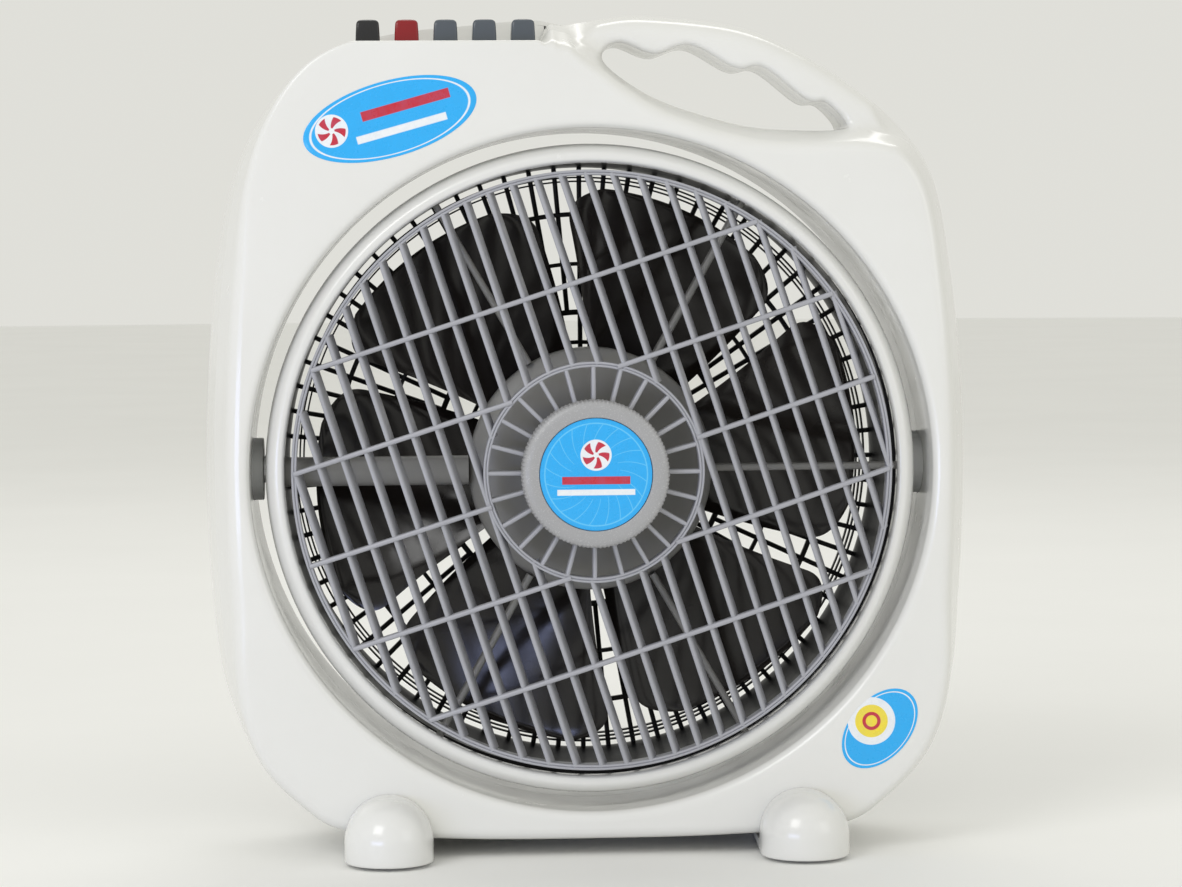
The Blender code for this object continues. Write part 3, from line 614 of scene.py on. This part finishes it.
# ---- Case trim ----
def foot(name, x):
    """A ski-shaped foot: a dome in front of the case, one behind it and a bar between."""
    straight = 0.0125
    levels = [(FOOT_BOTTOM, 0.955), (FOOT_BOTTOM + 0.0004, 0.985), (FOOT_BOTTOM + 0.0012, 1.0),
              (straight * 0.6, 1.0), (straight, 1.0)]
    for turn in np.linspace(0, math.pi / 2, 15)[1:]:
        height = straight + (FOOT_TOP - straight) * math.sin(turn)
        levels.append((height, max(math.cos(turn), 0.004)))
    around = (np.arange(96) + 0.5) * math.tau / 96
    rows = []
    for z, spread in levels:
        row = []
        for a in around:
            radius = FOOT_R if math.sin(a) < 0 else FOOT_REAR_R
            centre_y = math.copysign(FOOT_END_Y - radius, math.sin(a))
            row.append((x + spread * radius * math.cos(a), centre_y + spread * radius * math.sin(a), z))
        rows.append(row)
    body = add_object(name + "_ski", Shape().grid(rows, caps=True).mesh(name, 50), IVORY)
    clear = REAR_RADII + 0.0003
    envelope = np.stack([clear * np.cos(ALL_ANGLES), DRUM_Z + clear * np.sin(ALL_ANGLES)], axis=1)
    depth = FACE + 0.0003
    combine(body, "DIFFERENCE", cutter(plane_prism(envelope, -depth, depth)))
    shade(body.data, 50)
    attach(body, "case", (name,))


def feet():
    for name, x in (("left", -FOOT_X), ("right", FOOT_X)):
        foot(f"foot_{name}", x)
        for end, y in (("front", -0.068), ("rear", 0.070)):
            pad = rounded(((0, 0.0), (0.0080, 0.0, 0.0004), (0.0080, 0.0015, 0.0004), (0, 0.0015)))
            node = f"foot_pad_{end}_{name}"
            shape = Shape().turned(pad, 48, (x, y, 0), (0, 0, 1), closed=False)
            piece(node + "_disc", shape, RUBBER, "case", (node,))


def keys():
    looks = {"key_black": KEY_BLACK, "key_red": KEY_RED, "key_slate": KEY_SLATE}
    kinds = (("key_swing", "key_black"), ("key_off", "key_red"), ("key_low", "key_slate"),
             ("key_medium", "key_slate"), ("key_high", "key_slate"))
    for (name, slot), x in zip(kinds, key_places()):
        edge = 0.0024
        levels = [(KEY_BOTTOM, 0.0), (KEY_BOTTOM + 0.008, 0.0), (LEDGE_Z + 0.004, 0.0003),
                  (KEY_TOP - edge, 0.0006)]
        for turn in np.linspace(0, math.pi / 2, 8)[1:]:
            levels.append((KEY_TOP - edge * (1 - math.sin(turn)) - 0.0003,
                           0.0006 + edge * (1 - math.cos(turn))))
        levels += [(KEY_TOP - 0.0001, 0.0042), (KEY_TOP, 0.0060)]
        rows = []
        for z, inset in levels:
            half = [max(size - inset, 0.0004) for size in KEY_HALF]
            outline = rounded_rectangle(*half, max(0.0016 - inset * 0.2, 0.0003))
            rows.append([(x + a, KEY_Y + b, z) for a, b in outline])
        piece(name + "_cap", Shape().grid(rows, caps=True), looks[slot], name, (name,))


def pivots():
    """The grey bushes that the drum hangs in."""
    for name, x in (("left", -1), ("right", 1)):
        bush = rounded(((0.0079, 0.1720), (0.0165, 0.1720, 0.0008), (0.0165, 0.1890, 0.0003),
                        (0.0079, 0.1890)), closed=True)
        node = f"pivot_bush_{name}"
        shape = Shape().turned(bush, 96, along=(x, 0, 0))
        piece(node + "_smooth", shape, PIVOT_GREY, "case", (node,))


# ---- Drum ----
def drum_bezel():
    profile = rounded((
        (BEZEL_BORE_R, -0.0385, 0.0003), (BEZEL_BORE_R, -0.0447, 0.0012, 0.0012),
        (0.1616, -0.0463, 0.0009, 0.0012), (0.1655, -0.0462, 0.0018, 0.0030),
        (0.1697, -0.0410, 0.0032, 0.0050), (BEZEL_R, -0.0270, 0.003), (0.1700, 0.0160, 0.0006),
        (0.1672, 0.0160, 0.0004), (0.1676, -0.0350, 0.003), (0.1640, -0.0385, 0.002),
    ), closed=True)
    piece("drum_bezel_ring", Shape().turned(profile, 240), IVORY, "drum",
          ("drum_bezel",))


def ring_profile(inner, outer, front, back):
    """A square ring's profile with its edges eased."""
    ease = min(outer - inner, back - front) * 0.25
    return rounded(((inner, front, ease), (outer, front, ease), (outer, back, ease),
                    (inner, back, ease)), closed=True, steps=3)


def bar_section(half, front, back):
    """A bar's (across, y) section with a round front."""
    return rounded(((-half, back), (-half, front, half * 0.98, half * 0.98),
                    (half, front, half * 0.98, half * 0.98), (half, back)), closed=True, steps=4)


def radial_bar(shape, angle, start, stop, half, y_front, y_back, samples=2):
    """A bar along a radius, from start to stop."""
    across = (-math.sin(angle), 0.0, math.cos(angle))
    path = [on_axis(r, 0.0, angle) for r in np.linspace(start, stop, samples)]
    shape.bar(path, across, bar_section(half, y_front, y_back))


def rear_guard():
    wall = rounded(((0.1668, 0.0040, 0.0004), (0.1668, 0.0300, 0.006), (0.1637, GUARD_BACK, 0.0015),
                    (GUARD_R, GUARD_BACK, 0.0006), (GUARD_R, GUARD_FRONT, 0.0006),
                    (0.1640, 0.0300, 0.006), (0.1640, 0.0040, 0.0004)), closed=True)
    shape = Shape().turned(wall, 240)
    plate = rounded(((0.0120, GUARD_FRONT, 0.0004), (0.0480, GUARD_FRONT, 0.001),
                     (0.0480, GUARD_BACK, 0.001), (0.0120, GUARD_BACK, 0.0004)), closed=True)
    shape.turned(plate, 120)
    for radius, width in ((0.0640, 0.0022), (0.0805, 0.0030), (0.1070, 0.0022), (0.1342, 0.0026),
                          (0.1522, 0.0009), (0.1543, 0.0009), (0.1564, 0.0009)):
        profile = ring_profile(radius - width / 2, radius + width / 2, GUARD_FRONT, GUARD_BACK)
        shape.turned(profile, 240)
    for k in range(72):
        angle = math.tau * k / 72
        start = 0.0475 if k % 3 == 0 else 0.0800
        radial_bar(shape, angle, start, GUARD_R + 0.001, 0.0013, GUARD_FRONT, GUARD_BACK - 0.0003)
    piece("rear_guard_grille", shape, BLACK, "drum", ("rear_guard",))
    cover = rounded(((0, 0.0800), (0.030, 0.0785, 0.012), (0.0425, 0.0735, 0.006),
                     (0.0460, 0.0625, 0.0006), (0.0436, 0.0625, 0.0004), (0.0405, 0.0705, 0.005),
                     (0.029, 0.0760, 0.01), (0, 0.0775)))
    piece("motor_cover_dome", Shape().turned(cover, 120, closed=False), TRIM_BLACK, "drum",
          ("motor_cover",))


def spider():
    profile = rounded(((0.0046, -0.0385), (0.0300, -0.0385, 0.006), (0.0555, -0.0347, 0.006),
                       (HUB_R, -0.0300, 0.0025), (HUB_R, -0.0222, 0.0004),
                       (0.0615, -0.0222, 0.0004), (0.0615, -0.0275, 0.002),
                       (0.0550, -0.0322, 0.004), (0.0300, -0.0362, 0.004), (0.0046, -0.0362)),
                      closed=True)
    piece("spider_hub_dish", Shape().turned(profile, 180), HUB_GREY, "drum",
          ("spider_hub",))
    for k in range(6):
        half, front = (0.0075, -0.0365) if k == 3 else (0.0018, -0.0340)
        node = f"spider_arm_{k + 1}"
        shape = Shape()
        radial_bar(shape, math.tau * k / 6, HUB_R + 0.0003, 0.1663, half, front, -0.0250, 12)
        piece(node + "_rib", shape, HUB_GREY, "drum", (node,))


# ---- Impeller ----
def blade(shape, k):
    """One wide blade: its pitch, its sweep and its rounded tip follow from the radius."""
    rows, columns, half_thick = 40, 44, 0.0010
    surface = np.zeros((rows + 1, columns + 1, 3))
    for i in range(rows + 1):
        s = 1 - (1 - i / rows) ** 1.6
        rounding = math.sqrt(1 - max(0.0, (s - 0.80) / 0.20) ** 3 * 0.55)
        half = math.radians(26.5 * rounding)
        middle = math.tau * k / BLADES + math.radians(2.5 + 6 * s)
        for j in range(columns + 1):
            t = 2 * j / columns - 1
            radius = BLADE_ROOT_R + (BLADE_TIP_R + 0.002 * t - BLADE_ROOT_R) * s
            y = 0.002 - 0.0150 * t * (1 - 0.25 * s) * rounding + 0.003 * (1 - t * t)
            surface[i, j] = on_axis(radius, y, middle + half * t)
    # The blade thins out over the last few millimetres to its edges.
    edge_i = np.minimum(rows - np.arange(rows + 1), 4)[:, None] / 4
    edge_j = np.minimum(np.arange(columns + 1), columns - np.arange(columns + 1)).clip(0, 3)[None] / 3
    thick = half_thick * np.sqrt(np.clip(np.minimum(edge_i, edge_j), 0.02, 1))
    lift = np.stack([thick * 0, thick, thick * 0], axis=2)
    front, back = surface - lift, surface + lift
    loop = [(i, 0) for i in range(rows + 1)] + [(rows, j) for j in range(1, columns + 1)]
    loop += [(i, columns) for i in range(rows - 1, -1, -1)] + [(0, j) for j in range(columns - 1, 0, -1)]
    shape.grid(front, wrap=(False, False))
    shape.grid(back, wrap=(False, False))
    shape.grid([[front[i, j] for i, j in loop], [back[i, j] for i, j in loop]])


def impeller():
    profile = rounded(((0.0043, -0.0100), (0.0180, -0.0100, 0.002), (0.0260, -0.0165, 0.003),
                       (0.0430, -0.0162, 0.002), (0.0450, -0.0130, 0.002), (0.0450, 0.0185, 0.0004),
                       (0.0428, 0.0185, 0.0004), (0.0428, -0.0135, 0.001), (0.0270, -0.0140, 0.002),
                       (0.0170, -0.0060, 0.002), (0.0043, -0.0060)), closed=True)
    shape = Shape().turned(profile, 144)
    for k in range(BLADES):
        blade(shape, k)
    piece("impeller_blades", shape, SMOKE, "impeller", ("impeller",), sharp=50)


# ---- Louvre ----
def dome(radius):
    """How far the louvre bulges forward at a radius."""
    return -LOUVRE_DOME * (1 - (radius / LOUVRE_R) ** 2)


def louvre_point(u, v):
    """A place on the louvre's front from its lean axes: u across the slats, v along them."""
    x = u * math.cos(LOUVRE_LEAN) - v * math.sin(LOUVRE_LEAN)
    z = u * math.sin(LOUVRE_LEAN) + v * math.cos(LOUVRE_LEAN)
    return (x, LOUVRE_FRONT + dome(math.hypot(u, v)), DRUM_Z + z)


def spans(offset, inner, outer):
    """The stretches of a line at that offset from the centre that lie between two circles."""
    reach = math.sqrt(outer**2 - offset**2)
    if abs(offset) >= inner:
        return [(-reach, reach)]
    near = math.sqrt(inner**2 - offset**2)
    return [(-reach, -near), (near, reach)]


def slat_section():
    """A slat's (across, y) section: round in front, raked sideways and thinner behind."""
    half, depth = SLAT_WIDTH / 2, LOUVRE_BACK - LOUVRE_FRONT
    outline = rounded(((-half * 0.55, depth, 0.0004), (-half, 0.0, 0.0026, 0.0014),
                       (half, 0.0, 0.0014, 0.0026), (half * 0.55, depth, 0.0004)),
                      closed=True, steps=6)
    outline[:, 0] += SLAT_SHEAR * outline[:, 1] / depth
    return outline


def beaded_ring(inner, outer, front, back):
    """A ring's profile with two beads in front and a groove between them."""
    middle, bead = (inner + outer) / 2, (outer - inner) * 0.36
    return rounded(((inner, back, 0.0003), (inner, front, bead), (middle - 0.0002, front, bead * 0.5),
                    (middle - 0.0001, front + 0.0007, 0.0001), (middle + 0.0001, front + 0.0007, 0.0001),
                    (middle + 0.0002, front, bead * 0.5), (outer, front, bead), (outer, back, 0.0003)),
                   closed=True, steps=4)


def louvre():
    across_u = (math.cos(LOUVRE_LEAN), 0.0, math.sin(LOUVRE_LEAN))
    across_v = (-math.sin(LOUVRE_LEAN), 0.0, math.cos(LOUVRE_LEAN))
    inner, outer = EYE_R - RING_WIDTH / 2, LOUVRE_R - RING_WIDTH / 2
    shape = Shape()
    for k in range(SLATS):
        u = (k - (SLATS - 1) / 2) * SLAT_PITCH
        for start, stop in spans(u, inner, outer):
            count = max(6, round((stop - start) / 0.008))
            path = [louvre_point(u, v) for v in np.linspace(start, stop, count)]
            shape.bar(path, across_u, slat_section())
    for k in range(-2, 3):
        v = k * BAR_PITCH
        for start, stop in spans(v, inner, outer):
            count = max(6, round((stop - start) / 0.008))
            path = [louvre_point(u, v) for u in np.linspace(start, stop, count)]
            shape.bar(path, across_v, bar_section(BAR_WIDTH / 2, -0.0009, 0.0040))
    for inner_r, outer_r in ((LOUVRE_R - RING_WIDTH, LOUVRE_R), (EYE_R - RING_WIDTH, EYE_R)):
        lift = dome((inner_r + outer_r) / 2)
        shape.turned(beaded_ring(inner_r, outer_r, LOUVRE_FRONT + lift, LOUVRE_BACK + lift), 240)
    seat_front = LOUVRE_FRONT + dome(SEAT_R)
    seat = rounded(((0.0046, seat_front), (SEAT_R, seat_front, 0.001),
                    (SEAT_R, seat_front + 0.009, 0.0005), (SEAT_R - 0.003, seat_front + 0.009, 0.0005),
                    (SEAT_R - 0.003, seat_front + 0.003, 0.0005), (0.0046, seat_front + 0.003)),
                   closed=True)
    shape.turned(seat, 120)
    for k in range(EYE_RIBS):
        angle = math.tau * k / EYE_RIBS
        across = (-math.sin(angle), 0.0, math.cos(angle))
        radii = np.linspace(SEAT_R - 0.001, EYE_R - RING_WIDTH + 0.0008, 5)
        path = [on_axis(r, LOUVRE_FRONT + dome(r), angle) for r in radii]
        shape.bar(path, across, bar_section(0.00115, 0.0002, 0.0085))
    piece("louvre_grille", shape, GREY, "louvre", ("louvre",))


def knob():
    """The louvre's knob, knurled round its edge, with a recess for the badge."""
    rim, teeth = 0.0292, 110
    profile = rounded(((0, -0.0765), (rim, -0.0765, 0.0003), (rim, -0.0786, 0.0006),
                       (0.0345, -0.0788, 0.003), (0.0378, -0.0772, 0.0016), (KNOB_R, -0.0745, 0.001),
                       (KNOB_R, -0.0645, 0.0006), (0.0046, -0.0645), (0.0046, -0.0705),
                       (0, -0.0705)), spacing={9: 2})
    shape = Shape().turned(profile, teeth * 6, closed=False)
    grooved = []
    for x, y, z in shape.points:
        radius, angle = math.hypot(x, z - DRUM_Z), math.atan2(z - DRUM_Z, x)
        if radius > 0.0362:
            share = float(smoothstep(0.0362, 0.0380, radius))
            radius -= 0.00022 * share * (1 + math.cos(teeth * angle))
        grooved.append(on_axis(radius, y, angle))
    shape.points = grooved
    piece("knob_knurled", shape, KNOB_GREY, "knob", ("knob",))


# ---- Printed labels ----
def polar(tree, place, centre_x, centre_z, tilt, size_x=1.0, size_z=1.0):
    """Sockets for the scaled radius, the angle and the two axes about a place on the front."""
    moved = add_node(tree, "VectorMath", {0: place, 1: (centre_x, 0.0, centre_z)},
                     operation="SUBTRACT").outputs[0]
    turned = add_node(tree, "VectorRotate", {"Vector": moved, "Angle": tilt},
                      rotation_type="Y_AXIS").outputs[0]
    split = add_node(tree, "SeparateXYZ", {0: turned})
    x = math_node(tree, "DIVIDE", split.outputs["X"], size_x)
    z = math_node(tree, "DIVIDE", split.outputs["Z"], size_z)
    squares = math_node(tree, "ADD", math_node(tree, "MULTIPLY", x, x), math_node(tree, "MULTIPLY", z, z))
    return math_node(tree, "SQRT", squares), math_node(tree, "ARCTAN2", z, x), x, z


def math_node(tree, operation, first, second=0.0):
    return add_node(tree, "Math", {0: first, 1: second}, operation=operation).outputs[0]


def band(tree, value, low, high, soft):
    """1 where the value is between low and high."""
    rise = remap(tree, value, low - soft, low + soft, 0.0, 1.0)
    fall = remap(tree, value, high - soft, high + soft, 1.0, 0.0)
    return math_node(tree, "MULTIPLY", rise, fall)


PRINT_BLUE, PRINT_WHITE = (0.015, 0.42, 0.90), (0.86, 0.88, 0.90)
PRINT_RED, PRINT_YELLOW = (0.55, 0.012, 0.03), (0.90, 0.72, 0.03)


def label_finish(tree, shader, place, tint):
    """Printed film: faint mottle in the ink, light scuffs in its gloss, a slight ripple."""
    mottle = remap(tree, noise(tree, place, 260.0, 3.0), 0.3, 0.7, 0.0, 0.10)
    tree.links.new(blend(tree, mottle, tint, (0.03, 0.30, 0.62)), shader.inputs["Base Color"])
    scuffs = remap(tree, noise(tree, place, 90.0, 6.0, 0.7), 0.4, 0.7, 0.20, 0.42)
    tree.links.new(scuffs, shader.inputs["Roughness"])
    tree.links.new(bump(tree, noise(tree, place, 60.0, 2.0), 0.00005, 0.5), shader.inputs["Normal"])


def pinwheel(tree, radius, angle, petals, swirl):
    """A generic wheel of curved petals: 0 to 1 across each petal."""
    turns = math_node(tree, "MULTIPLY", angle, petals / math.tau)
    curl = math_node(tree, "MULTIPLY", radius, swirl)
    return math_node(tree, "FRACT", math_node(tree, "ADD", math_node(tree, "ADD", turns, curl), 20.0))


def wheel_mark(tree, place, tint, centre, disc, reach, swirl, fill, soft):
    """A white disc with five red petals on it. Its radii are in millimetres."""
    radius, angle, _, _ = polar(tree, place, *centre, 0.0, 0.001, 0.001)
    petals = band(tree, pinwheel(tree, radius, angle, 5.0, swirl), 0.0, fill, 0.03)
    petals = math_node(tree, "MULTIPLY", petals, band(tree, radius, *reach, soft))
    tint = blend(tree, band(tree, radius, -1.0, disc, soft), tint, PRINT_WHITE)
    return blend(tree, petals, tint, PRINT_RED)


def badge_print():
    made, tree, shader, place = new_material("badge_blue", Coat_Weight=0.2, Coat_Roughness=0.1)
    radius, angle, x, z = polar(tree, place, 0.0, DRUM_Z, 0.0, 0.001, 0.001)
    wheel = band(tree, pinwheel(tree, radius, angle, 20.0, 0.075), 0.47, 0.53, 0.018)
    wheel = math_node(tree, "MULTIPLY", wheel, band(tree, radius, 12.5, 26.2, 0.1))
    ring = band(tree, radius, 26.0, 26.7, 0.12)
    lines = math_node(tree, "MAXIMUM", wheel, ring)
    tint = blend(tree, math_node(tree, "MULTIPLY", lines, 0.45), PRINT_BLUE, (0.25, 0.75, 1.0))
    for low, high, half, colour in ((-5.0, -1.0, 17.5, PRINT_RED), (-10.6, -7.6, 20.0, PRINT_WHITE)):
        stripe = math_node(tree, "MULTIPLY", band(tree, z, low, high, 0.1), band(tree, x, -half, half, 0.1))
        tint = blend(tree, stripe, tint, colour)
    tint = wheel_mark(tree, place, tint, (0.0, DRUM_Z + 0.0100), 8.0, (1.4, 6.9), 0.06, 0.52, 0.12)
    label_finish(tree, shader, place, tint)
    return made


def oval_print(name, centre, tilt, size, extra):
    """A blue oval with a thin white line set in from its edge; extra draws on it."""
    made, tree, shader, place = new_material(name, Coat_Weight=0.2, Coat_Roughness=0.1)
    radius, _, x, z = polar(tree, place, *centre, tilt, *size)
    tint = blend(tree, band(tree, radius, 0.905, 0.93, 0.006), PRINT_BLUE, PRINT_WHITE)
    tint = extra(tree, place, tint, x, z)
    label_finish(tree, shader, place, tint)
    return made


def top_label_art(tree, place, tint, x, z):
    """A plain wheel at the left end and two stripes beside it."""
    tint = wheel_mark(tree, place, tint, TOP_MARK, 8.5, (1.5, 7.3), 0.05, 0.5, 0.1)
    for low, high, start, stop, colour in ((0.12, 0.38, -0.30, 0.72, PRINT_RED),
                                           (-0.42, -0.22, -0.42, 0.62, PRINT_WHITE)):
        stripe = math_node(tree, "MULTIPLY", band(tree, z, low, high, 0.01),
                           band(tree, x, start, stop, 0.005))
        tint = blend(tree, stripe, tint, colour)
    return tint


def low_label_art(tree, place, tint, x, z):
    """A white disc, a yellow disc in it and a red ring."""
    radius, _, _, _ = polar(tree, place, *LOW_MARK, 0.0, 0.001, 0.001)
    tint = blend(tree, band(tree, radius, -1.0, 12.5, 0.1), tint, PRINT_WHITE)
    tint = blend(tree, band(tree, radius, -1.0, 8.6, 0.1), tint, PRINT_YELLOW)
    return blend(tree, band(tree, radius, 3.0, 4.8, 0.1), tint, PRINT_RED)


TOP_LABEL, TOP_TILT, TOP_SIZE = (-0.1035, 0.3846), math.radians(15.5), (0.0460, 0.0195)
TOP_MARK = (-0.1335, 0.3785)
LOW_LABEL, LOW_TILT, LOW_SIZE = (0.1490, 0.0653), math.radians(48), (0.0242, 0.0158)
LOW_MARK = (0.1446, 0.0693)


def film(name, centre, tilt, size, look):
    """A thin oval of printed film that follows the case's face."""
    thick, sunk = 0.00022, 0.00015
    fine = np.arange(120) * math.tau / 120
    levels = [(share, thick) for share in (0.004, 0.35, 0.7, 0.93, 0.995)]
    levels += [(1.0, thick * 0.5), *((share, -sunk) for share in (1.0, 0.7, 0.35, 0.004))]
    rows = []
    for share, lift in levels:
        row = []
        for a in fine:
            along, over = share * size[0] * math.cos(a), share * size[1] * math.sin(a)
            x = centre[0] + along * math.cos(tilt) - over * math.sin(tilt)
            z = centre[1] + along * math.sin(tilt) + over * math.cos(tilt)
            row.append((x, -case_depth(x, z, FRONT_RADII) - lift, z))
        rows.append(row)
    piece(name, Shape().grid(rows, caps=True), look, "case")


def labels():
    badge = rounded(((0, -0.0781), (0.0240, -0.07805, 0.004), (BADGE_R, -0.0778, 0.0002),
                     (BADGE_R, -0.0768, 0.0002), (0, -0.0768)))
    piece("knob_badge_print", Shape().turned(badge, 120, closed=False), badge_print(), "knob",
          ("knob_badge",))
    look = oval_print("label_top", TOP_LABEL, TOP_TILT, TOP_SIZE, top_label_art)
    film("label_upper_left", TOP_LABEL, TOP_TILT, TOP_SIZE, look)
    look = oval_print("label_low", LOW_LABEL, LOW_TILT, LOW_SIZE, low_label_art)
    film("label_lower_right", LOW_LABEL, LOW_TILT, LOW_SIZE, look)


# ---- CAD pieces that are shown as they are ----
def hidden_works():
    """The pieces inside that keep their CAD shape get a finished surface."""
    looks = {"steel": STEEL, "lamination": LAMINATION, "copper": COPPER, "aluminium": ALUMINIUM,
             "rubber": RUBBER, "black_plastic": TRIM_BLACK, "key_black": TRIM_BLACK,
             "key_slate": KEY_SLATE, "grey_plastic": GREY}
    kinds = (("screw", "steel"), ("pin", "steel"), ("shaft", "steel"), ("louvre_motor", "steel"),
             ("stator_core", "lamination"), ("stator_coil", "copper"), ("rotor", "lamination"),
             ("bell", "aluminium"), ("gland", "rubber"), ("nut", "key_slate"),
             ("switch_body", "black_plastic"), ("capacitor", "black_plastic"))
    for name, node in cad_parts.items():
        if node.hide_render:
            continue
        slot = next((slot for part, slot in kinds if part in name), "grey_plastic")
        node.data.materials.clear()
        node.data.materials.append(looks[slot])
        shade(node.data, 35)


# ---- Stage ----
def floor():
    made, tree, shader, place = new_material("floor_paper", Roughness=0.9)
    tone = remap(tree, noise(tree, place, 3.0, 4.0), 0.3, 0.7, 0.0, 1.0)
    tree.links.new(blend(tree, tone, (0.90, 0.90, 0.885), (0.88, 0.88, 0.865)), shader.inputs["Base Color"])
    bm = bmesh.new()
    bmesh.ops.create_circle(bm, cap_ends=True, radius=12.0, segments=96)
    mesh = bpy.data.meshes.new("floor")
    bm.to_mesh(mesh)
    bm.free()
    add_object("floor", mesh, made)


def area_light(name, place, target, size, power, colour=(1.0, 1.0, 1.0)):
    data = bpy.data.lights.new(name, "AREA")
    data.shape = "RECTANGLE"
    data.size, data.size_y = size
    data.energy = power
    data.color = colour
    lamp = bpy.data.objects.new(name, data)
    bpy.context.scene.collection.objects.link(lamp)
    lamp.location = place
    lamp.rotation_euler = (Vector(target) - Vector(place)).to_track_quat("-Z", "Y").to_euler()


def lights():
    world = bpy.data.worlds.new("studio")
    world.use_nodes = True
    backdrop = world.node_tree.nodes["Background"]
    backdrop.inputs["Color"].default_value = (0.93, 0.925, 0.87, 1.0)
    backdrop.inputs["Strength"].default_value = 0.80
    bpy.context.scene.world = world
    middle = (0.0, 0.0, 0.22)
    area_light("key", (-1.5, -2.2, 2.0), middle, (1.3, 1.3), 24)
    area_light("fill", (2.2, -1.8, 1.0), middle, (1.4, 1.4), 5)
    area_light("rim", (0.3, 1.8, 2.2), middle, (1.6, 1.0), 8)
    area_light("blue_bounce", (-1.0, -1.6, 0.12), middle, (1.0, 0.22), 4, (0.50, 0.58, 1.0))


def camera():
    azimuth, elevation, roll = (math.radians(d) for d in (3.3, 3.1, 0.45))
    distance, target = 1.9, Vector((0.0, 0.0, 0.22))
    look = Vector((math.sin(azimuth) * math.cos(elevation),
                   math.cos(azimuth) * math.cos(elevation), -math.sin(elevation)))
    data = bpy.data.cameras.new("camera")
    data.sensor_width = 36.0
    data.lens = 108.4
    data.shift_x, data.shift_y = 0.0033, -0.0109
    data.clip_start, data.clip_end = 0.05, 60.0
    made = bpy.data.objects.new("camera", data)
    bpy.context.scene.collection.objects.link(made)
    made.location = target - look * distance
    turn = look.to_track_quat("-Z", "Y").to_matrix() @ Matrix.Rotation(-roll, 3, "Z")
    made.rotation_euler = turn.to_euler()
    bpy.context.scene.camera = made


def main():
    case()
    feet()
    keys()
    pivots()
    drum_bezel()
    rear_guard()
    spider()
    impeller()
    louvre()
    knob()
    labels()
    hidden_works()
    floor()
    lights()
    camera()
    bpy.context.scene.view_settings.view_transform = "Standard"


main()
